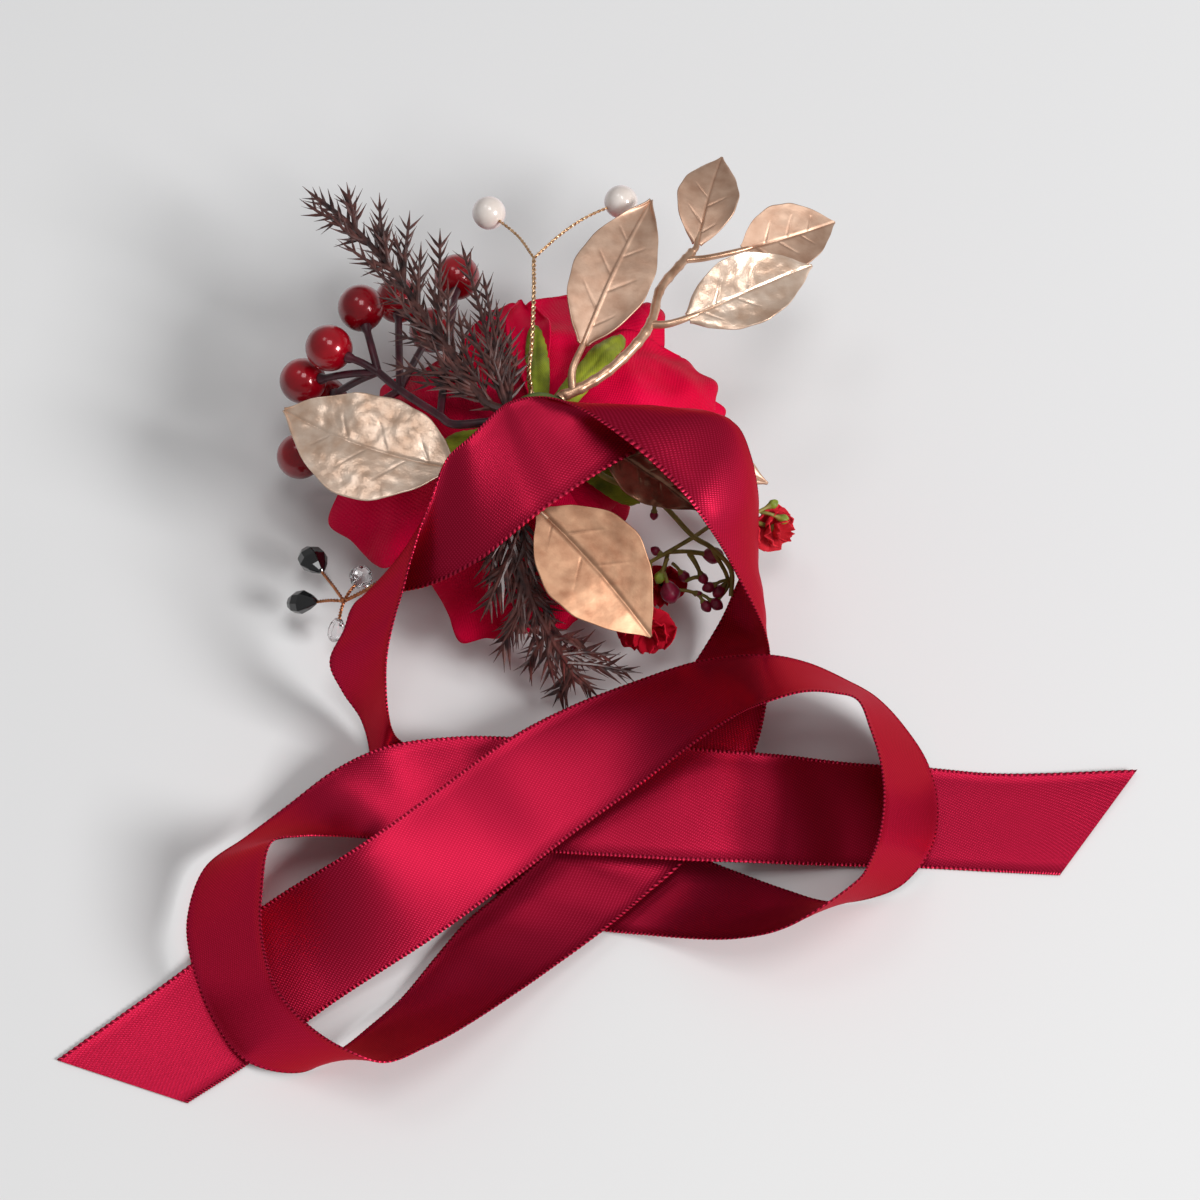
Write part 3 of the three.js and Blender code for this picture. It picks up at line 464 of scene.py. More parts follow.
wine_satin = satin()
peony_cloth = petal_cloth("peony_cloth", (196, 2, 46), (228, 8, 68))
coral_cloth = petal_cloth("coral_cloth", (234, 30, 52), (250, 76, 88))
deep_coral_cloth = petal_cloth("deep_coral_cloth", (206, 10, 40), (238, 40, 64))
green_cloth = leaf_cloth()
# Partly painted highlight: a paler, less metallic copy of the foil for leaves 4 and 5, lightened both for their
# paler tone and to stand in for their white gleam.
pale_and_gleam_painted_foil = foil("pale_and_gleam_painted_foil", (212, 176, 150), (248, 224, 204), 0.31, 0.13, 0.65)
champagne_foil = foil("champagne_foil", (190, 150, 126), (222, 188, 164), 0.46, 0.06)
antique_foil = foil("antique_foil", (166, 118, 90), (206, 162, 130), 0.48, 0.05)
bronze_foil = foil("bronze_foil", (120, 80, 60), (180, 134, 108), 0.36, 0.16)
branch_foil = foil("branch_foil", (178, 134, 106), (226, 188, 160), 0.34, 0.1)
berry_lacquer = grained(
    "berry_lacquer", (96, 0, 10), (168, 2, 24), 0.3, 90.0, 0.01, finer=1200 / 90, detail=4.0,
    Coat_Weight=0.9, Coat_Roughness=0.1, Specular_Tint=(255, 120, 130),
)
pearl_white = grained(
    "pearl_white", (218, 204, 194), (238, 230, 224), 0.28, 220.0, 0.008, finer=700 / 220,
    Coat_Weight=0.9, Coat_Roughness=0.08, Sheen_Weight=0.4, Sheen_Tint=(255, 226, 236),
)
berry_eye = grained("berry_eye", (22, 6, 8), (50, 18, 18), 0.6, 900.0, 0.05)
berry_twig = grained("berry_twig", (40, 8, 20), (84, 24, 40), 0.38, 300.0, 0.06)
needle_brown = grained("needle_brown", (30, 12, 13), (100, 58, 52), 0.4, 420.0, 0.05)
gold_wire = grained("gold_wire", (206, 160, 116), (238, 204, 164), 0.28, 900.0, 0.01, 1.0)
copper_wire = grained("copper_wire", (160, 96, 62), (214, 146, 102), 0.3, 900.0, 0.01, 1.0)
black_glass = glass("black_glass", (0.004, 0.004, 0.005, 1), 0.05, 0.0)
clear_glass = glass("clear_glass", (0.96, 0.96, 0.97, 1), 0.02, 1.0)
bud_burgundy = grained("bud_burgundy", (98, 6, 36), (156, 24, 66), 0.42, 500.0, 0.06)
bud_green = grained("bud_green", (96, 112, 20), (150, 164, 50), 0.5, 500.0, 0.05)
filler_twig = grained("filler_twig", (98, 90, 28), (150, 138, 60), 0.55, 300.0, 0.06)
stem_tape = grained("stem_tape", (60, 74, 26), (92, 110, 44), 0.75, 260.0, 0.12)
red_felt = grained("red_felt", (96, 6, 26), (134, 16, 42), 0.95, 700.0, 0.2, Sheen_Weight=0.5)


# The ribbon: both selvages at each station, as (near u, near v, far u, far v), with their height shares.
RIBBON_PIXELS = [
    (57, 1060, 187, 1103), (190, 965, 257, 1058), (265, 905, 333, 1003), (360, 845, 430, 940),
    (440, 788, 510, 882), (505, 741, 575, 832), (570, 707, 636, 788), (640, 680, 692, 745),
    (700, 661, 735, 716), (765, 655, 765, 703), (805, 662, 802, 692), (845, 680, 836, 693),
    (875, 697, 858, 700), (905, 728, 870, 728), (928, 765, 880, 760), (938, 810, 884, 800),
    (930, 850, 878, 840), (905, 882, 868, 865), (880, 895, 860, 878), (831, 902, 790, 925),
    (783, 889, 740, 938), (705, 860, 650, 935), (620, 829, 583, 927), (540, 799, 503, 897),
    (485, 775, 455, 868), (450, 760, 424, 852), (422, 750, 393, 845), (402, 742, 364, 822),
    (390, 722, 371, 762), (386, 690, 362, 721), (387, 655, 343, 692), (394, 620, 330, 662),
    (402, 593, 344, 630), (410, 563, 353, 606), (420, 530, 370, 594), (432, 498, 396, 592),
    (446, 460, 433, 584), (470, 437, 480, 560), (500, 408, 530, 520), (510, 402, 565, 495),
    (531, 397, 607, 468), (555, 399, 650, 444), (580, 409, 690, 424), (612, 430, 720, 418),
    (645, 456, 738, 428), (680, 490, 750, 455), (705, 522, 757, 490), (722, 548, 757, 520),
    (738, 577, 752, 555), (755, 610, 738, 582), (767, 640, 722, 618), (770, 665, 700, 655),
    (766, 705, 670, 700), (755, 750, 640, 745), (722, 808, 600, 795), (683, 862, 560, 840),
    (648, 893, 545, 855), (610, 925, 505, 890), (560, 962, 468, 920), (520, 990, 435, 958),
    (470, 1023, 400, 1000), (430, 1045, 368, 1028), (385, 1062, 343, 1048), (343, 1048, 300, 1072),
    (306, 1023, 245, 1060), (275, 985, 212, 1018), (262, 935, 190, 955), (262, 890, 188, 915),
    (272, 842, 205, 868), (300, 836, 245, 838), (335, 836, 290, 804), (365, 838, 335, 770),
    (420, 842, 385, 747), (480, 847, 455, 737), (545, 852, 525, 738), (610, 856, 610, 742),
    (680, 860, 690, 748), (740, 862, 745, 752), (790, 864, 790, 756), (850, 866, 850, 763),
    (925, 868, 925, 768), (1000, 872, 1000, 774), (1060, 875, 1137, 770),
]
RIBBON_HEIGHT_SHARES = [
    (0.01, 0.01), (0.03, 0.02), (0.1, 0.07), (0.26, 0.15), (0.25, 0.2), (0.23, 0.22), (0.22, 0.28),
    (0.22, 0.41), (0.27, 0.55), (0.44, 0.74), (0.39, 0.75), (0.29, 0.67),
    (0.2, 0.61), (0.14, 0.57), (0.1, 0.53), (0.1, 0.52), (0.1, 0.52), (0.07, 0.49), (0.04, 0.48),
    (0.02, 0.38),
    (0.02, 0.28), (0.02, 0.06), (0.02, 0.02), (0.02, 0.02), (0.04, 0.02),
    (0.07, 0.02), (0.1, 0.02), (0.16, 0.02), (0.4, 0.03), (0.55, 0.1), (0.6, 0.18), (0.66, 0.27),
    (0.72, 0.36), (0.78, 0.43), (0.82, 0.48), (0.86, 0.58), (0.91, 0.72), (0.965, 0.86), (0.97, 0.955),
    (0.955, 0.96), (0.965, 0.965), (1.03, 0.97), (1.09, 0.97), (1.12, 0.98), (1.13, 0.97), (1.11, 0.9),
    (1.04, 0.77),
    (0.9, 0.54), (0.75, 0.34), (0.62, 0.2), (0.45, 0.09), (0.31, 0.03), (0.18, 0.03), (0.1, 0.05),
    (0.1, 0.06), (0.1, 0.07),
    (0.1, 0.06), (0.11, 0.05), (0.14, 0.04), (0.2, 0.04), (0.29, 0.04), (0.35, 0.05),
    (0.38, 0.04), (0.42, 0.03), (0.44, 0.06), (0.46, 0.08), (0.46, 0.1), (0.46, 0.08), (0.48, 0.08),
    (0.44, 0.07), (0.34, 0.11), (0.22, 0.17), (0.16, 0.23), (0.14, 0.2), (0.13, 0.14), (0.15, 0.14),
    (0.16, 0.16), (0.15, 0.16), (0.1, 0.1), (0.03, 0.03), (0.01, 0.01), (0.01, 0.01), (0.01, 0.03),
]
# Where the ribbon bends across its width: station, pixel and height share of its middle.
RIBBON_MIDDLES = {
    41: ((598, 416), 0.98), 42: ((636, 406), 1.04), 43: ((678, 410), 1.08), 44: ((706, 422), 1.09),
    45: ((729, 460), 1.04), 46: ((744, 501), 0.93),
    47: ((752, 534), 0.74), 48: ((757, 566), 0.56), 49: ((763, 598), 0.42), 50: ((756, 634), 0.24),
}
RIBBON_WIDTH = 25 * MM
RIBBON_THICKNESS = 0.34 * MM
RIBBON_RIPPLE = 0.35 * MM
PICOT_PITCH = 0.95 * MM
PICOT_ROWS = (0.0, 1.0, 1.0, 0.0)
PICOT_DEPTH = 0.13 * MM
RIBBON_ACROSS = (-1, -0.978, -0.95, -0.78, -0.42, 0, 0.42, 0.78, 0.95, 0.978, 1)
RIBBON_WALL_SHARES = (0.75, 1.35, 0.6, 1, 1, 1, 1, 1, 0.6, 1.35, 0.75)


def ribbon_rows():
    """The ribbon's middle surface as rows of points across it, and its length."""
    near, middle, far = [], [], []
    for k, (pixels, (near_share, far_share)) in enumerate(zip(RIBBON_PIXELS, RIBBON_HEIGHT_SHARES)):
        near.append(place(pixels[:2], near_share))
        far.append(place(pixels[2:], far_share))
        middle.append(place(*RIBBON_MIDDLES[k]) if k in RIBBON_MIDDLES else (near[-1] + far[-1]) / 2)
    near_at, middle_at, far_at = course(near), course(middle), course(far)
    shares, length = even_shares(middle_at, PICOT_PITCH / len(PICOT_ROWS))
    rows = []
    for i, share in enumerate(shares):
        n, m, f = near_at(share), middle_at(share), far_at(share)
        picot = PICOT_ROWS[i % len(PICOT_ROWS)] * PICOT_DEPTH
        row = []
        for side in RIBBON_ACROSS:
            point = m + (f - n) * (side / 2) + ((f + n) / 2 - m) * side**2
            ripple = noise.noise(Vector((share * 95, side * 0.7, 4.2))) * (1 - 0.4 * abs(side))
            point.z += RIBBON_RIPPLE * ripple * min(1, point.z / (4 * MM))
            if abs(side) == 1:
                point += (f - n).normalized() * side * picot
            point.z = max(point.z, RIBBON_THICKNESS * 0.7)
            row.append(point)
        rows.append(row)
    return rows, length


def satin_ribbon():
    rows, length = ribbon_rows()
    count = len(RIBBON_ACROSS)
    ring = 2 * count
    points, faces, spots = [], [], []
    for i, row in enumerate(rows):
        before, after = rows[max(i - 2, 0)], rows[min(i + 2, len(rows) - 1)]
        halves = []
        for j, wall_share in enumerate(RIBBON_WALL_SHARES):
            across = row[min(j + 1, count - 1)] - row[max(j - 1, 0)]
            normal = across.cross(after[j] - before[j]).normalized()
            halves.append(normal * RIBBON_THICKNESS * wall_share / 2)
        points += [point + half for point, half in zip(row, halves)]
        points += [point - half for point, half in zip(row, halves)][::-1]
    around = [(side + 1) / 2 for side in RIBBON_ACROSS + RIBBON_ACROSS[::-1] + RIBBON_ACROSS[:1]]
    for i in range(len(rows) - 1):
        v0, v1 = (length * step / (len(rows) - 1) / RIBBON_WIDTH for step in (i, i + 1))
        for j in range(ring):
            a, b = i * ring + j, i * ring + (j + 1) % ring
            faces.append((a, b, b + ring, a + ring))
            u0, u1 = around[j:j + 2]
            spots += [(u0, v0), (u1, v0), (u1, v1), (u0, v1)]
    last = (len(rows) - 1) * ring
    for j in range(count - 1):
        a, b, c, d = j, j + 1, ring - 2 - j, ring - 1 - j
        faces.append((a, d, c, b))
        faces.append((last + a, last + b, last + c, last + d))
        spots += [(0.5, 0)] * 8
    data = bpy.data.meshes.new("satin_ribbon_cloth")
    data.from_pydata(points, [], faces)
    uv = data.uv_layers.new(name="cloth")
    for loop, spot in zip(uv.data, spots):
        loop.uv = spot
    data.validate()
    ribbon = linked("satin_ribbon_cloth", data)
    only(ribbon)
    bpy.ops.object.mode_set(mode="EDIT")
    bpy.ops.mesh.select_all(action="SELECT")
    bpy.ops.mesh.normals_make_consistent(inside=False)
    bpy.ops.object.mode_set(mode="OBJECT")
    smooth(ribbon, 50)
    dress(ribbon, "ribbon", wine_satin, "satin_ribbon")
    return ribbon, length


# The peony.
AXIS_PIXEL = (540, 436)
CALYX_HEIGHT = BACK_HEIGHT * 0.77
AXIS = seen_at(AXIS_PIXEL, CALYX_HEIGHT)
AXIS_FOOT = Vector((AXIS.x, AXIS.y, 0))
RECEPTACLE_RADIUS = 4 * MM
SEAT_GAP = 0.3 * MM
GUARD_REACH = 42 * MM
GUARD_DROP = BACK_HEIGHT * 0.4
GUARD_RIPPLE = 0.9 * MM
LEAN = 0.17
INNER_HEIGHT = BACK_HEIGHT * 0.63
INNER_REACH = 29 * MM
INNER_REACHES = (25 * MM, 29 * MM, 29 * MM, 29 * MM, 29 * MM, 20 * MM)
INNER_DROP = BACK_HEIGHT * 0.52
INNER_WIDTH = 15 * MM
CORE_HEIGHT = BACK_HEIGHT * 0.52
PETAL_WALL = 0.4 * MM
PETAL_LOWEST = 0.6 * MM
HEART_WALL = 0.35 * MM
GUARD_STEP = 1.25 * MM
PETAL_WIDTHS = [
    (0, 0.16), (0.12, 0.3), (0.28, 0.55), (0.46, 0.83), (0.64, 0.99), (0.8, 0.98), (0.92, 0.8), (1, 0.48),
]
PETAL_BACKS = [
    (0, 0), (0.12, 0), (0.28, 0), (0.46, 0.01), (0.64, 0.03), (0.8, 0.06), (0.92, 0.1), (1, 0.09),
]


def from_axis(point):
    return math.hypot(point.x - AXIS.x, point.y - AXIS.y)


def way_round(point):
    return math.atan2(point.y - AXIS.y, point.x - AXIS.x)


def guard_dome(point):
    reach = from_axis(point) / GUARD_REACH
    ripple = GUARD_RIPPLE * min(reach, 1) ** 3 * math.cos(7 * way_round(point))
    return CALYX_HEIGHT - GUARD_DROP * reach**1.6 + LEAN * (point.y - AXIS.y) + ripple


def shared_frill(point):
    """Folds that all guard petals share, so that their layers never cross."""
    reach = min(from_axis(point) / GUARD_REACH, 1.1)
    angle = way_round(point)
    folds = 1.4 * math.cos(9 * angle + 2.6 * reach) + 0.4 * math.cos(14 * angle - 3 * reach + 1)
    flat_spot = Vector((point.x, point.y, 0))
    soft = 2.6 * noise.noise(flat_spot * 105) + 0.7 * noise.noise(flat_spot * 210)
    return (folds * reach**2.6 + soft * min(1, 1.6 * reach)) * MM


def inner_dome(point):
    reach = from_axis(point) / INNER_REACH
    return INNER_HEIGHT - INNER_DROP * reach**2.2 + LEAN / 2 * (point.y - AXIS.y)


def seen_on_dome(pixel):
    point = seen_at(pixel, CALYX_HEIGHT)
    for _ in range(24):
        point = seen_at(pixel, (point.z + guard_dome(point)) / 2)
    return point


def petal(name, nodes, towards, half_width, drop, seed, ruffle, curl, tilt=0.0, dome=guard_dome, folds=shared_frill):
    """One cloth petal over a dome: frilled at its rim, tilted to one side, curled at its tip (up or down)."""
    start = RECEPTACLE_RADIUS + SEAT_GAP
    along = level_way(way_round(towards))
    across = Vector((-along.y, along.x, 0))
    length = from_axis(towards) - start
    base = AXIS_FOOT + along * start

    def lay(side, share):
        width = table_value(PETAL_WIDTHS, share)
        back = table_value(PETAL_BACKS, share)
        notch = 0.03 * share**5 * math.cos(side * 4.6 + seed * 2.3)
        point = base + along * length * (share - back * side**2 + notch)
        point += across * half_width * width * side * (1 + 0.03 * share * math.sin(share * 9 + seed))
        rim = max(abs(side) ** 4, share**7) * share
        frill = math.sin(side * 3.6 + seed * 1.7) * share**4 + math.sin(share * 7 + seed) * side**4 * share
        crease = noise.noise(Vector((side * 1.6 + seed, share * 2.4, seed))) * share
        point.z = dome(point) - drop + tilt * MM * side * share
        if folds:
            point.z += folds(point)
        point.z += ruffle * MM * frill + 0.7 * MM * crease + curl * MM * rim
        point -= along * abs(curl) * MM * 0.4 * share**7
        point.z = max(point.z, PETAL_LOWEST)
        return point

    dress(laid_grid(name, 44, 52, lay, PETAL_WALL), "petal", peony_cloth, *nodes)


# Guard petals: tip, half width as a share of their reach, layer, ruffle and curl in millimetres.
GUARD_PETALS = {
    "back_right": ((708, 372), 0.37, 0, 0.7, -1.2),
    "back": ((605, 284), 0.34, 1, 0.7, -1.6),
    "back_left": ((510, 300), 0.29, 2, 0.6, 1.6),
    "left": ((372, 394), 0.3, 0, 0.6, -1.6),
    "front_left": ((330, 510), 0.4, 1, 0.6, -1.4),
    "front": ((466, 632), 0.33, 2, 0.6, -1.0),
    "front_right": ((545, 622), 0.3, 0, 0.6, -1.8),
    "right": ((624, 492), 0.24, 1, 0.6, -1.4),
}
# Small petals between the guard petals: tip, half width, depth below the dome, curl, all lengths in millimetres.
ODD_PETALS = {
    "curled_tip": ((524, 302), 4.6, -0.9, 2.6),
    "right_under": ((722, 402), 8.5, 3.2, -0.8),
    "back_under": ((655, 306), 9.0, 3.4, 0.8),
    "front_under": ((500, 626), 8.0, 3.6, 0.6),
}


def peony():
    for seed, (side, (tip, width, level, ruffle, curl)) in enumerate(GUARD_PETALS.items()):
        petal(
            f"guard_petal_{side}_cloth", [f"guard_petal_{side}"], seen_on_dome(tip), width * GUARD_REACH,
            level * GUARD_STEP, seed + 1, ruffle, curl, tilt=0.55,
        )
    for seed, (side, (tip, half_width, drop, curl)) in enumerate(ODD_PETALS.items()):
        petal(f"petal_{side}", [], seen_on_dome(tip), half_width * MM, drop * MM, seed + 21, 0.8, curl, tilt=0.5)
    for k, reach in enumerate(INNER_REACHES):
        petal(
            f"inner_petal_{k + 1}_cloth", [f"inner_petal_{k + 1}"],
            AXIS + level_way(2 * math.pi * (k + 0.5) / len(INNER_REACHES)) * reach,
            INNER_WIDTH, (k % 2) * 2 * MM, k + 11, 0.8, 0.8, dome=inner_dome, folds=None,
        )
    heart()


def heart():
    """The small ruffled petals at the heart, laid flat on the table."""
    cups = []
    for ring, (count, reach, foot) in enumerate(((6, 18.4, 0.5), (5, 14.0, 1.6), (4, 9.5, 2.6), (3, 5.5, 3.4))):
        for k in range(count):
            angle = 2 * math.pi * (k + 0.37 * ring) / count
            seed = 31 + 7 * ring + k

            def lay(side, share):
                turn = angle + side * (1.25 * math.pi / count) * (0.35 + 0.65 * share**0.7)
                radius = (1.5 + (reach - 1.5) * share**0.65) * MM
                radius *= 1 + 0.05 * share * math.sin(side * 8 + seed)
                height = foot * MM + (CORE_HEIGHT - 2 * MM - foot * MM) * (1 - share) ** 1.5
                height += 0.5 * MM * share * math.sin(side * 7 + seed) + 0.8 * MM * share * side * side
                point = AXIS_FOOT + level_way(turn) * radius
                point.z = max(height, HEART_WALL)
                return point

            cups.append(laid_grid(f"heart_{ring}_{k}", 18, 22, lay, HEART_WALL))
    dress(join(cups, "heart_petals"), "petal", peony_cloth, "flower_core")


SEPAL_START = 7.8 * MM
SEPAL_WALL = 0.35 * MM
SEPAL_HALF_WIDTH = 3.4 * MM
SEPAL_LIFT = 1.9 * MM
SEPAL_WIDTHS = [(0, 0.8), (0.25, 0.97), (0.5, 1), (0.75, 0.92), (0.92, 0.66), (1, 0.3)]
SEPALS = {
    "back": ((536, 332), 0.72),
    "back_right": ((622, 340), 0.8),
    "right": ((642, 500), 1.2),
    "left": ((440, 452), 0.8),
}


def sepals():
    for seed, (side, (tip_pixel, wide)) in enumerate(SEPALS.items()):
        tip = seen_on_dome(tip_pixel)
        along = Vector((tip.x - AXIS.x, tip.y - AXIS.y, 0)).normalized()
        across = Vector((-along.y, along.x, 0))
        length = from_axis(tip) - SEPAL_START
        half_width = wide * SEPAL_HALF_WIDTH

        def lay(side_share, share):
            width = table_value(SEPAL_WIDTHS, share)
            point = AXIS_FOOT + along * (SEPAL_START + length * share)
            point += across * half_width * width * side_share
            vein = math.exp(-((side_share * width * 4) ** 2))
            side_veins = 0.12 * MM * math.sin((share * 9 - abs(side_share) * 1.4) * 2 * math.pi) * abs(side_share)
            point.z = guard_dome(point) + max(0, shared_frill(point)) + SEPAL_LIFT - 0.35 * MM * vein + side_veins
            point.z += 0.3 * MM * math.sin(share * 6 + seed + side_share * 2) - 0.9 * MM * side_share**2
            return point

        cloth = laid_grid(f"sepal_{side}_cloth", 18, 36, lay, SEPAL_WALL)
        dress(cloth, "sepal", green_cloth, f"sepal_{side}")


# Stems leave the side of the taped bundle with a short straight run.
bundle_low, bundle_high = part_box("stem_bundle")
STEM_HEIGHT = (bundle_low.z + bundle_high.z) / 2
BUNDLE_RADIUS = 6.8 * MM
STEM_LEAD = 1.6 * MM


def stem_route(points):
    out = Vector((points[0].x - AXIS.x, points[0].y - AXIS.y, 0)).normalized()
    start = Vector((AXIS.x, AXIS.y, STEM_HEIGHT)) + out * (BUNDLE_RADIUS + SEAT_GAP)
    return [start, start + out * STEM_LEAD] + list(points)


BERRY_RADIUS = 5 * MM
BERRY_EYE_RADIUS = 0.75 * MM
BERRY_EYE_HEIGHT = 4.85 * MM
BERRY_STEM = ([(452, 424), (440, 416), (400, 390), (378, 372)], [0.83, 0.8, 0.72, 0.68])
# Each berry: its pixel and height share, and those of the fork that its twig leaves.
BERRIES = {
    1: ((361, 308), 0.67, (378, 372), 0.68),
    2: ((329, 348), 0.65, (378, 372), 0.68),
    3: ((303, 381), 0.46, (378, 372), 0.68),
    4: ((325, 399), 0.24, (378, 372), 0.68),
    5: ((300, 456), 0.3, (400, 390), 0.72),
    6: ((398, 300), 0.535, (400, 390), 0.72),
    7: ((457, 277), 0.5, (440, 416), 0.8),
    8: ((432, 330), 0.42, (400, 390), 0.72),
}


def berry_pattern():
    """A lacquered berry that points to +Z, with a dimple and a dark dried eye at that end."""

    def dimpled(x, y, z):
        near_eye = max(0, z / BERRY_RADIUS - 0.86) / 0.14
        z = z * 1.03 - near_eye * 0.45 * MM
        near_stem = max(0, -z / BERRY_RADIUS - 0.9) / 0.1
        return x, y, z + near_stem * 0.3 * MM

    def lobed(x, y, z):
        lobe = 1 + 0.25 * math.cos(5 * math.atan2(y, x))
        return x * lobe, y * lobe, z * 0.5 + BERRY_EYE_HEIGHT

    berry = shaped(ball(32, 20, BERRY_RADIUS), dimpled)
    eye = shaped(ball(12, 8, BERRY_EYE_RADIUS), lobed)
    for piece, material in ((berry, berry_lacquer), (eye, berry_eye)):
        smooth(piece)
        wear(piece, material)
    return join([berry, eye], "berry_pattern")


def berries():
    pattern = berry_pattern()
    stems = [tapered(stem_route(route(*BERRY_STEM)), 0.95, 0.85)]
    for number, (pixel, share, fork_pixel, fork_share) in BERRIES.items():
        centre, fork = place(pixel, share), place(fork_pixel, fork_share)
        outward = (centre - fork).normalized()
        berry = copy_of(pattern, facing(outward, centre, roll=number), f"berry_{number}_lacquered")
        dress(berry, "berry", None, f"berry_{number}")
        end = centre - outward * (BERRY_RADIUS - 0.1 * MM)
        stems.append(flared(tapered(arched(fork, end, 0.6), 0.85, 0.8), 1.15, 1.25))
    bpy.data.objects.remove(pattern, do_unlink=True)
    dress(tubes("berry_twigs", stems, 3), "berry_stem", berry_twig, "berry_stem")


# Sprigs of flat needles.
UPPER_SPRIG = {
    "stem_pixels": [
        (488, 404), (470, 383), (450, 350), (420, 310), (400, 280), (375, 250), (345, 220), (318, 199),
    ],
    "stem_shares": [0.88, 0.87, 0.86, 0.84, 0.82, 0.8, 0.78, 0.74],
    "tip_pixels": [
        (350, 200), (335, 222), (380, 212), (355, 240), (408, 230), (378, 268), (440, 248), (394, 300),
        (466, 260), (486, 290), (408, 338), (498, 318), (404, 368), (510, 345), (430, 384), (420, 262),
        (448, 300), (410, 318), (470, 330), (384, 236), (515, 366), (462, 392), (446, 372), (490, 350),
    ],
    "tip_shares": [
        0.8, 0.76, 0.82, 0.77, 0.84, 0.79, 0.85, 0.8, 0.86, 0.84, 0.82, 0.83, 0.83, 0.83, 0.84, 0.87,
        0.92, 0.9, 0.92, 0.85, 0.85, 0.84, 0.9, 0.93,
    ],
}
LOWER_SPRIG = {
    "stem_pixels": [(508, 520), (518, 560), (532, 602), (552, 640), (570, 668)],
    "stem_shares": [0.82, 0.74, 0.6, 0.42, 0.26],
    "tip_pixels": [
        (490, 600), (504, 644), (530, 660), (560, 690), (588, 686), (622, 670), (600, 654), (496, 560),
        (575, 640), (545, 600), (515, 620), (572, 676),
    ],
    "tip_shares": [0.64, 0.44, 0.32, 0.16, 0.16, 0.18, 0.26, 0.72, 0.34, 0.56, 0.56, 0.24],
}
NEEDLE_LENGTH = 6.6 * MM
# For each sprig: needle pitch in millimetres, needle size, lift, side twigs on each hand and their length.
UPPER_NEEDLES = (2.7, 1.0, (-0.1, 0.3), 8, 11.0)
LOWER_NEEDLES = (2.1, 1.4, (-0.6, 0.05), 6, 12.0)


def needle_pattern():
    """One flat needle along +Z, widest below its middle and bent a little."""
    nothing_selected()
    bpy.ops.mesh.primitive_cone_add(vertices=4, radius1=0.5 * MM, radius2=0.05 * MM, depth=NEEDLE_LENGTH)
    needle = bpy.context.active_object
    bpy.ops.object.mode_set(mode="EDIT")
    bpy.ops.mesh.select_all(action="SELECT")
    bpy.ops.mesh.subdivide(number_cuts=2)
    bpy.ops.object.mode_set(mode="OBJECT")

    def bent(x, y, z):
        share = z / NEEDLE_LENGTH + 0.5
        x *= 0.85 + 0.55 * math.sin(math.pi * min(share * 1.3, 1))
        return x, y * 0.55 + 0.6 * MM * share * share, z + NEEDLE_LENGTH / 2

    return shaped(needle, bent)


def nearest_fork(at, tip):
    """The point of a stem where a twig to that tip best leaves it."""
    return min(
        (at(k / 60) for k in range(61)), key=lambda point: (point - tip).length + 0.84 * (point - at(0)).length,
    )


def sprig(name, layout, seed, needles):
    pitch, needle_size, lift_range, side_twigs, twig_length = needles
    dice = random.Random(seed)
    pattern = needle_pattern()
    stem = stem_route(route(layout["stem_pixels"], layout["stem_shares"]))
    at = course(stem)
    runs = [tapered(stem, 1.15, 0.55)]
    lines = [(at, 0.12, 1.0)]

    def ahead_and_side(line, share):
        ahead = (line(min(share + 0.03, 1)) - line(max(share - 0.03, 0))).normalized()
        return ahead, Vector((0, 0, 1)).cross(ahead).normalized()

    for tip in route(layout["tip_pixels"], layout["tip_shares"]):
        twig = arched(nearest_fork(at, tip), tip, 0.8)
        runs.append(tapered(twig, 0.6, 0.3))
        lines.append((course(twig), 0.2, 0.95))
    for k in range(side_twigs * 2):
        hand = 1 if k % 2 else -1
        share = 0.22 + 0.72 * k / (side_twigs * 2)
        fork = at(share)
        ahead, level_side = ahead_and_side(at, share)
        outward = ahead + level_side * hand * dice.uniform(0.35, 0.6)
        outward = (outward + Vector((0, 0, dice.uniform(*lift_range)))).normalized()
        tip = fork + outward * twig_length * dice.uniform(0.7, 1.05) * MM * (1 - 0.35 * share)
        tip.z = max(tip.z, 4 * MM)
        twig = [fork, (fork + tip) / 2 + level_side * hand * 0.8 * MM, tip]
        runs.append(tapered(twig, 0.5, 0.28))
        lines.append((course(twig), 0.2, 0.9))
    blades = []
    for line, first, size in lines:
        shares, _ = even_shares(line, pitch * MM)
        for k, share in enumerate(shares):
            if share < first:
                continue
            point = line(share)
            ahead, level_side = ahead_and_side(line, share)
            for hand in (-1, 1, 0):
                if hand == 0 and (k % 2 or share > 0.9):
                    continue
                spread = dice.uniform(0.35, 0.8) if hand else dice.uniform(-0.2, 0.2)
                lift = dice.uniform(*lift_range)
                direction = ahead + level_side * hand * spread + Vector((0, 0, lift))
                scale = size * needle_size * dice.uniform(0.7, 1.1) * (1 - 0.25 * share)
                room = (point.z - 0.6 * MM) / (max(-direction.z, 0.01) * NEEDLE_LENGTH)
                scale = min(scale, max(0.35, room))
                turn = facing(direction.normalized(), point, dice.uniform(-0.5, 0.5), scale)
                blades.append(copy_of(pattern, turn, "blade"))
        tip_turn = facing((line(1) - line(0.93)).normalized(), line(1), 0, size * 0.8)
        blades.append(copy_of(pattern, tip_turn, "blade"))
    bpy.data.objects.remove(pattern, do_unlink=True)
    whole = join([tubes(f"{name}_stem", runs)] + blades, f"{name}_needles")
    smooth(whole, 40)
    dress(whole, "sprig", needle_brown, name)


PEARL_RADIUS = 3.6 * MM
PEARLS = {"pearl_left": ((489, 213), 0.84), "pearl_right": ((621, 202), 0.9)}
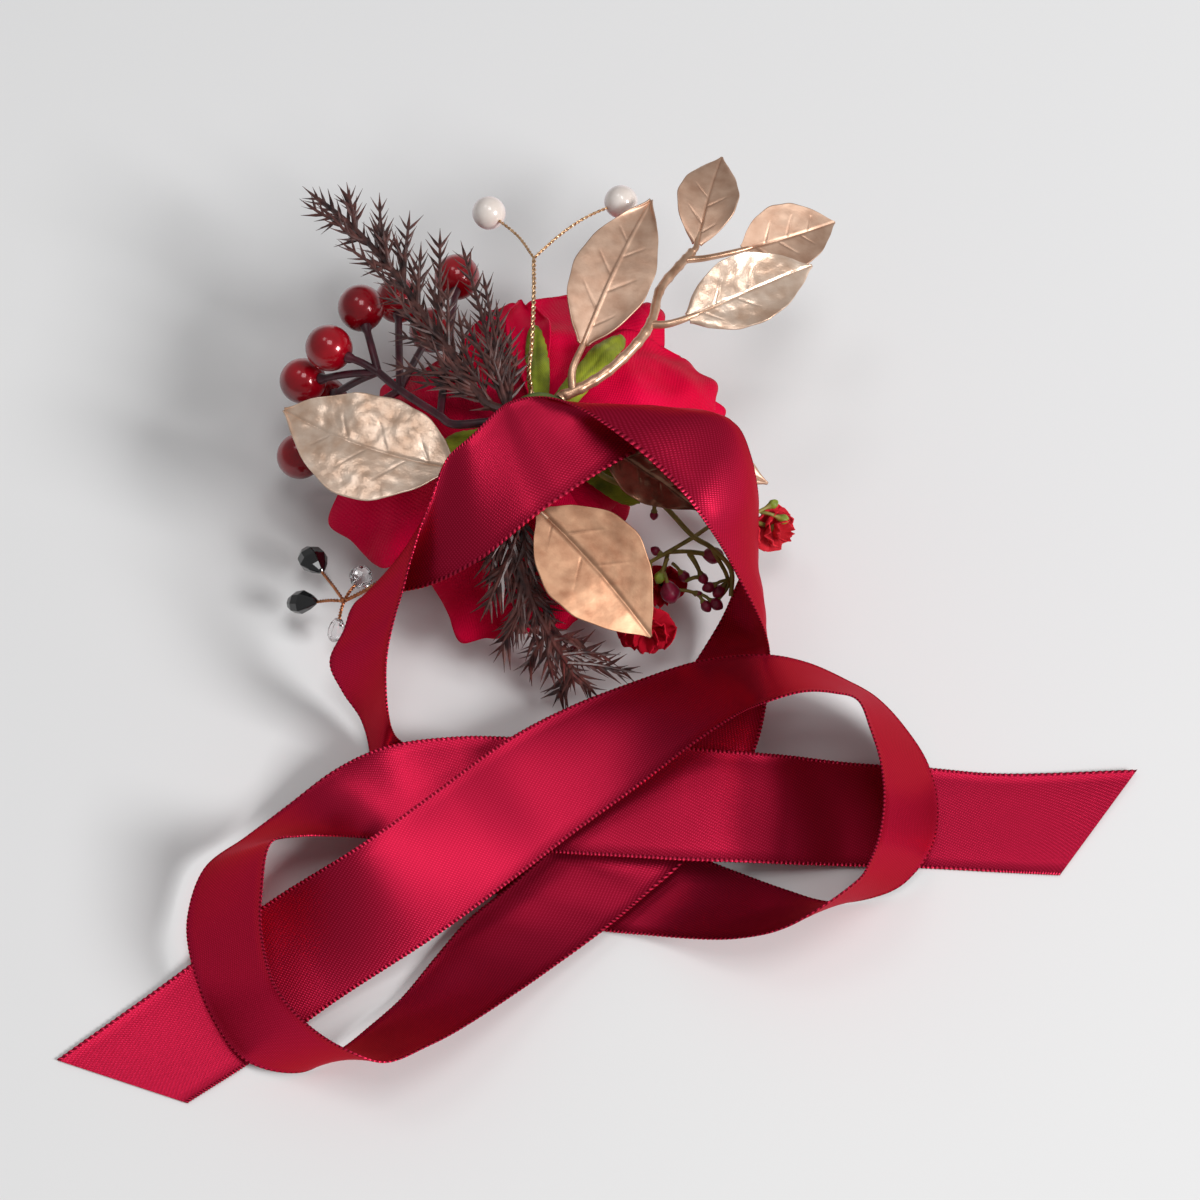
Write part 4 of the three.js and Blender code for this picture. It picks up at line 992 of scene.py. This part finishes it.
# The wires of the pearls: pixels and height shares.
PEARL_TRUNK = ([(529, 374), (532, 340), (534, 290), (534, 258)], [0.93, 1, 1, 0.96])
PEARL_ARMS = (
    ([(534, 258), (518, 236), (489, 213)], [0.96, 0.9, 0.84]),
    ([(534, 258), (560, 235), (585, 218), (621, 202)], [0.96, 0.95, 0.93, 0.9]),
)


def flat_poled(x, y, z):
    """A pearl is a little flat where its wire goes in."""
    pole = max(0, abs(z) / PEARL_RADIUS - 0.97) / 0.03
    return x, y, z - math.copysign(0.25 * MM * pole, z)


def pearls():
    for name, spot in PEARLS.items():
        bead = shaped(ball(36, 24, PEARL_RADIUS), flat_poled)
        bead.name = f"{name}_bead"
        bead.data.transform(facing(Vector((0.6, -0.75, -0.2)), place(*spot)))
        smooth(bead)
        dress(bead, "pearl", pearl_white, name)
    strands = twisted(stem_route(route(*PEARL_TRUNK)), 0.24, 2.6)
    for arm in PEARL_ARMS:
        strands += twisted(route(*arm), 0.17, 2.2)
    dress(tubes("pearl_wire_twisted", strands, 1), "gold_wire", gold_wire, "pearl_wire")


# Foil leaves.
LEAF_WIDTHS = [(0, 0.14), (0.1, 0.5), (0.24, 0.84), (0.4, 1), (0.56, 0.95), (0.72, 0.72), (0.86, 0.4), (1, 0.03)]
# Each leaf: base and tip pixel, their height shares, width, tilt, sideways bow in millimetres, and finish.
LEAVES = {
    1: ((583, 345), (651, 201), 0.94, 0.98, 17, 0.0, 0.4, "champagne"),
    2: ((697, 244), (722, 157), 0.83, 0.8, 13, 0.0, 0.3, "champagne"),
    3: ((742, 250), (835, 222), 0.78, 0.72, 15, 0.0, -0.9, "champagne"),
    4: ((688, 318), (812, 265), 0.92, 0.88, 16, 0.0, -0.3, "bright"),
    5: ((452, 468), (284, 410), 0.8, 0.7, 24, 0.1, 2.6, "bright"),
    6: ((541, 511), (651, 637), 0.87, 0.62, 22, 0.0, 0.5, "antique"),
    7: ((604, 445), (697, 510), 0.86, 0.72, 13, 0.0, 0.2, "bronze"),
    8: ((632, 420), (768, 483), 0.86, 0.58, 12, 0.0, -0.4, "champagne"),
}
LEAF_FOILS = {"champagne": champagne_foil, "antique": antique_foil, "bright": pale_and_gleam_painted_foil, "bronze": bronze_foil}
LEAF_CRUMPLE = {"champagne": 0.18, "antique": 0.25, "bright": 0.6, "bronze": 0.9}
LEAF_WALL = 0.3 * MM
VEIN_WIDTH = 0.26 * MM
RAISED_MIDRIB_LEAF = 1


def foil_leaf(number, base, tip, width, tilt, bow, look):
    length = (tip - base).length
    along = (tip - base).normalized()
    lean = Vector((0, -0.2, 1)).normalized()
    across = Matrix.Rotation(tilt, 3, along) @ lean.cross(along).normalized()
    normal = along.cross(across)
    half_width = width * MM / 2
    curl = 0.8 * math.sin(number * 2.1)
    raised = number == RAISED_MIDRIB_LEAF
    rib_width = (0.5 if look == "antique" else 0.3) * MM
    pressed = []

    def lay(side, share):
        wide = table_value(LEAF_WIDTHS, share) * (1 + 0.014 * math.sin(share * 29 + number) * side)
        x, y = half_width * wide * side, share * length
        sweep = bow * MM * math.sin(math.pi * share)
        lift = 1.6 * MM * math.sin(math.pi * share) + 1.4 * MM * wide * abs(side) ** 1.3
        rib = math.exp(-((x / rib_width) ** 2)) * (1 - 0.6 * share)
        veins = 0.0
        for k in range(2 + number % 2):
            foot = 0.16 + 0.24 * k + 0.05 * math.copysign(1, side) + 0.02 * math.sin(number * 3 + k)
            gap = (share - foot - 0.22 * abs(side) * wide) * length
            fade = min(1, abs(side) * 8) * max(0, 1 - 1.6 * abs(side)) ** 0.5
            veins += math.exp(-((gap / VEIN_WIDTH) ** 2)) * fade
        # Painted shade: dark patches over the wrinkles, stronger on the half with positive x, added to darkening
        # along the midrib and vein grooves.
        wrinkle_painted_shade = max(0, noise.noise(Vector((x * 190, y * 120, number + 9)))) * (0.9 if x > 0 else 0.4)
        pressed.append(min(1, (0 if raised else 0.9) * rib**2 + 0.85 * veins + wrinkle_painted_shade * 0.8))
        crumple = noise.noise(Vector((x * 150, y * 150, number)))
        crumple += noise.noise(Vector((x * 520, y * 520, number + 5))) * 0.22
        crumple *= LEAF_CRUMPLE[look] * MM * (0.4 + 0.6 * wide)
        edge = curl * MM * abs(side) ** 5 * math.sin(share * 7 + number)
        height = lift + (0.5 if raised else -0.4) * MM * rib - 0.22 * MM * veins + crumple + edge
        return base + along * y + across * (x + sweep) + normal * height

    leaf = laid_grid(f"gold_leaf_{number}_foil", 72, 130, lay, LEAF_WALL)
    # The mask of painted shade, stored as a point attribute; the leaf's back face gets 0.35 of it.
    depth = leaf.data.attributes.new("pressed", "FLOAT", "POINT")
    for k, value in enumerate(depth.data):
        value.value = pressed[k] if k < len(pressed) else 0.35 * pressed[k - len(pressed)]
    wear(leaf, LEAF_FOILS[look])
    return leaf


def gold_leaves():
    for number, (base_pixel, tip_pixel, base_share, tip_share, width, tilt, bow, look) in LEAVES.items():
        base, tip = place(base_pixel, base_share), place(tip_pixel, tip_share)
        blade = foil_leaf(number, base, tip, width, tilt, bow, look)
        if number not in GOLD_TWIGS:
            ends = [base.lerp(tip, -0.04), base.lerp(tip, 0.06)]
            stem = tubes(f"leaf_stem_{number}", [tapered(stem_route(ends), 0.62, 0.45)])
            wear(stem, branch_foil)
            blade = join([blade, stem], f"gold_leaf_{number}_foil")
        dress(blade, "gold_foil", None, f"gold_leaf_{number}")


GOLD_TRUNK = (
    [(562, 396), (585, 386), (612, 368), (640, 340), (652, 320), (660, 290), (680, 265), (692, 252)],
    [0.88, 0.89, 0.9, 0.91, 0.9, 0.88, 0.85, 0.83],
)
# For each leaf of the branch, the pixels and height shares of its twig.
GOLD_TWIGS = {
    1: [((573, 392), 0.885), ((572, 372), 0.92), ((583, 345), 0.94)],
    2: [((690, 254), 0.835), ((696, 248), 0.832), ((697, 241), 0.83)],
    3: [((686, 260), 0.845), ((706, 258), 0.82), ((742, 250), 0.78)],
    4: [((650, 325), 0.9), ((668, 324), 0.915), ((690, 317), 0.92)],
}


def gold_branch():
    at = course(stem_route(route(*GOLD_TRUNK)))
    shares, _ = even_shares(at, 0.6 * MM)
    runs = [[(at(s), (1.2 - 0.3 * s + 0.16 * math.sin(s * 55) ** 8) * MM) for s in shares]]
    for number, spots in GOLD_TWIGS.items():
        leaf_base, leaf_tip = place(*spots[-1]), place(LEAVES[number][1], LEAVES[number][3])
        points = [place(*spot) for spot in spots] + [leaf_base.lerp(leaf_tip, 0.1)]
        runs.append(tapered(points, 0.95 if number in (1, 4) else 0.78, 0.5, 0.6 * MM))
    dress(tubes("gold_branch_foil", runs, 3), "gold_foil", branch_foil, "gold_branch")


# Crystals on twisted copper wire: pixel, height share, radius in millimetres, stretch, and look.
CRYSTALS = {
    "crystal_drop_black_1": ((314, 561), 0.18, 3.3, 1.25, "black"),
    "crystal_drop_black_2": ((303, 602), 0.16, 2.9, 1.35, "black"),
    "crystal_bead_clear_1": ((361, 577), 0.24, 2.6, 1.0, "clear"),
    "crystal_bead_clear_2": ((336, 630), 0.16, 1.8, 1.6, "clear"),
}
HUB = place((344, 601), 0.26)
COPPER_TRUNK = ([(478, 500), (425, 556), (385, 578), (362, 592)], [0.84, 0.6, 0.42, 0.32])


def crystals():
    strands = twisted(stem_route(route(*COPPER_TRUNK) + [HUB]), 0.24, 1.7)
    for name, (pixel, share, radius, stretch, look) in CRYSTALS.items():
        centre = place(pixel, share)
        outward = (centre - HUB).normalized()

        def cut_stone(x, y, z):
            share_up = z / (radius * MM)
            pull = 1 - 0.42 * max(0, -share_up) ** 1.2 + 0.08 * share_up
            return (x * pull, y * pull * 0.8, z * stretch) if look == "black" else (x, y, z * stretch)

        stone = shaped(ball(8, 6, radius * MM), cut_stone)
        stone.name = f"{name}_stone"
        cut_angle = math.radians(12)
        modify(stone, "cut edges", "BEVEL", width=0.12 * MM, segments=1, limit_method="ANGLE", angle_limit=cut_angle)
        stone.data.transform(facing(outward, centre, 0.3))
        dress(stone, look + "_crystal", black_glass if look == "black" else clear_glass, name)
        strands += twisted(arched(HUB, centre - outward * radius * stretch * MM * 0.96, 0.5), 0.2, 1.5)
    dress(tubes("crystal_wire_twisted", strands, 1), "copper_wire", copper_wire, "crystal_wire")


# The filler spray. Each bloom and bud: pixel, height share, radius in millimetres, and where its stalk starts.
BLOOMS = {
    "front": ((646, 630), 0.26, 6.6, (650, 562), 0.44),
    "middle": ((661, 585), 0.24, 5.6, (668, 552), 0.48),
    "right": ((773, 528), 0.3, 5.6, (735, 518), 0.44),
}
FILLER_STEM = ([(602, 475), (655, 498), (694, 537), (712, 548), (731, 570), (731, 596)],
               [0.8, 0.64, 0.54, 0.5, 0.42, 0.36])
FILLER_TWIGS = [
    ([(694, 537), (668, 552), (650, 562)], [0.54, 0.48, 0.44]),
    ([(694, 537), (714, 524), (735, 518)], [0.54, 0.5, 0.44]),
    ([(668, 552), (710, 554)], [0.48, 0.42]),
    ([(690, 553), (702, 577)], [0.44, 0.38]),
    ([(712, 548), (728, 584), (715, 603)], [0.5, 0.34, 0.3]),
    ([(702, 577), (686, 581)], [0.38, 0.36]),
    ([(655, 498), (654, 514)], [0.64, 0.58]),
]
BUDS = [
    ((713, 555), 0.42, 1.85, (687, 554), 0.45), ((703, 578), 0.38, 1.1, (689, 555), 0.44),
    ((709, 587), 0.35, 1.2, (727, 580), 0.37), ((719, 591), 0.33, 1.3, (730, 578), 0.36),
    ((716, 604), 0.3, 1.3, (700, 594), 0.32), ((706, 606), 0.3, 1.15, (698, 595), 0.32),
    ((684, 576), 0.36, 1.2, (672, 563), 0.42), ((656, 551), 0.46, 1.0, (664, 556), 0.46),
    ((670, 592), 0.34, 2.1, (664, 572), 0.42), ((654, 515), 0.58, 0.9, (655, 498), 0.64),
    ((699, 594), 0.32, 0.7, (678, 590), 0.34),
]
GREEN_BUDS = [((773, 504), 0.42, 1.0, (748, 519), 0.42), ((783, 519), 0.36, 1.1, (760, 512), 0.4),
              ((660, 577), 0.4, 1.2, (668, 558), 0.46)]

BLOOM_PETAL_WIDTHS = [(0, 0.25), (0.3, 0.72), (0.6, 1), (0.85, 0.88), (1, 0.45)]
BLOOM_WALL = 0.25 * MM


def bud_pattern():
    """A small closed bud that points to +Z, pinched at its tip and ribbed by its folded petals."""

    def pinched(x, y, z):
        pinch = 1 - 0.3 * max(0, z) ** 2 - 0.4 * max(0, -z) ** 1.5
        pinch *= 1 + 0.06 * math.cos(5 * math.atan2(y, x) + z * 2)
        return x * pinch, y * pinch, z * 1.32

    bud = shaped(ball(20, 14, 1), pinched)
    smooth(bud)
    return bud


def bloom(name, centre, outward, radius, seed):
    """A small double rosette of cloth petals round the end of its twig."""
    facing_way = (outward * 0.55 - EYE_FORWARD * 0.75).normalized()
    side = Vector((0, 1, 0)).cross(facing_way).normalized()
    up = facing_way.cross(side)
    cups = []
    for ring, (count, reach, rise) in enumerate(((5, 1.0, -0.5), (5, 0.72, 0.0), (4, 0.42, 0.4))):
        for k in range(count):
            angle = 2 * math.pi * (k + 0.5 * ring) / count + seed
            away = side * math.cos(angle) + up * math.sin(angle)
            beside = up * math.cos(angle) - side * math.sin(angle)

            def lay(across, share):
                wide = 0.62 * radius * MM * reach * table_value(BLOOM_PETAL_WIDTHS, share)
                out = radius * MM * reach * (0.1 + 0.9 * share - 0.12 * across**2 * share)
                depth = (rise + (0.3 + 0.5 * ring) * share**2 + 0.35 * across**2 * share) * 2.1 * MM
                depth += 0.7 * MM * share * math.sin(across * 4 + 2.4 * k + seed)
                return centre + away * out + beside * wide * across + facing_way * depth

            cups.append(laid_grid(f"{name}_{ring}_{k}", 14, 14, lay, BLOOM_WALL))
    return join(cups, name)


def stalk_start(pixel, share, from_pixel, from_share):
    """The middle of a bud or bloom, where its stalk starts, and the way it points."""
    centre, start = place(pixel, share), place(from_pixel, from_share)
    return centre, start, (centre - start).normalized()


def filler():
    runs = [tapered(stem_route(route(*FILLER_STEM)), 0.7, 0.5)]
    for pixels, shares in FILLER_TWIGS:
        points = route(pixels, shares)
        runs.append(tapered(arched(*points, 0.7) if len(points) == 2 else points, 0.5, 0.42))
    pattern = bud_pattern()
    buds = []
    for look, spots in ((bud_burgundy, BUDS), (bud_green, GREEN_BUDS)):
        for k, (pixel, share, radius, *start_spot) in enumerate(spots):
            centre, start, outward = stalk_start(pixel, share, *start_spot)
            bud = copy_of(pattern, facing(outward, centre, k, radius * MM), "bud")
            wear(bud, look)
            buds.append(bud)
            end = centre - outward * radius * MM * 0.9
            runs.append(flared(tapered(arched(start, end, 0.5), 0.38, 0.4), 0.75))
    bpy.data.objects.remove(pattern, do_unlink=True)
    for seed, (name, (pixel, share, radius, *start_spot)) in enumerate(BLOOMS.items()):
        centre, start, outward = stalk_start(pixel, share, *start_spot)
        whole = bloom(f"filler_bloom_{name}_cloth", centre, outward, radius, seed)
        cloth = coral_cloth if name == "right" else deep_coral_cloth
        dress(whole, "filler_bloom", cloth, f"filler_bloom_{name}")
        end = centre - outward * 0.6 * MM
        runs.append(flared(tapered(arched(start, end, 0.6), 0.5, 0.5), 1.1))
    stems = tubes("filler_stems", runs)
    wear(stems, filler_twig)
    dress(join([stems] + buds, "filler_spray_buds"), "filler_stem", None, "filler_spray")


def hidden_middle():
    """The taped bundle of stems, the calyx cup under it, and the felt disc over it."""
    wear(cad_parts["stem_bundle"], stem_tape)
    wear(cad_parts["flower_receptacle"], green_cloth)
    nothing_selected()
    bpy.ops.mesh.primitive_cylinder_add(
        vertices=64, radius=(pad_high.x - pad_low.x) / 2, depth=pad_high.z - pad_low.z,
        location=(pad_low + pad_high) / 2,
    )
    bpy.ops.object.transform_apply(location=True, rotation=True, scale=True)
    pad = bpy.context.active_object
    pad.name = "backing_pad_felt"
    modify(pad, "rim", "BEVEL", width=0.35 * MM, segments=3)
    smooth(pad, 40)
    dress(pad, "felt", red_felt, "backing_pad")


WORLD_STRENGTH = 0.29
# Each soft light: its spot and size in metres, and its watts. The key comes from the right.
LIGHTS = {
    "key": ((1.48, -0.7, 1.2), 0.65, 34.5),
    "top": ((0.15, 0.0, 2.05), 0.7, 7.6),
    "glint": ((-0.65, 0.6, 1.9), 0.5, 2.2),
}


def studio():
    """A pale floor, a pale surround, three soft lights and the camera."""
    nothing_selected()
    bpy.ops.mesh.primitive_plane_add(size=6, location=(0, 0, 0))
    floor = bpy.context.active_object
    floor.name = "pale_floor"
    paper, shader = finish("floor_paper", (228, 228, 228), 0.9, Specular_IOR_Level=0.1)
    mottle(shader, (227, 227, 228), (230, 230, 230), 3.0)
    wear(floor, paper)

    scene = bpy.context.scene
    scene.view_settings.view_transform = "Standard"
    world = bpy.data.worlds.new("studio")
    world.use_nodes = True
    surround = world.node_tree.nodes["Background"]
    surround.inputs["Color"].default_value = (1, 1, 1, 1)
    surround.inputs["Strength"].default_value = WORLD_STRENGTH
    scene.world = world

    for name, (spot, size, watts) in LIGHTS.items():
        light = bpy.data.lights.new(name, "AREA")
        light.size = size
        light.energy = watts
        lamp = linked(name, light)
        lamp.location = spot
        lamp.rotation_euler = Vector(spot).to_track_quat("Z", "Y").to_euler()

    lens = bpy.data.cameras.new("photograph_view")
    lens.sensor_width = SENSOR_WIDTH
    lens.lens = SENSOR_WIDTH * EYE_FOCAL_PIXELS / IMAGE_PIXELS
    lens.clip_end = 20
    camera = linked("photograph_view", lens)
    camera.location = EYE + table_shift
    camera.rotation_euler = (math.pi / 2 - EYE_ELEVATION, 0, 0)
    scene.camera = camera


studio()
ribbon_cloth, ribbon_length = satin_ribbon()
peony()
sepals()
berries()
sprig("upper_sprig", UPPER_SPRIG, 3, UPPER_NEEDLES)
sprig("lower_sprig", LOWER_SPRIG, 5, LOWER_NEEDLES)
pearls()
gold_leaves()
gold_branch()
crystals()
filler()
hidden_middle()
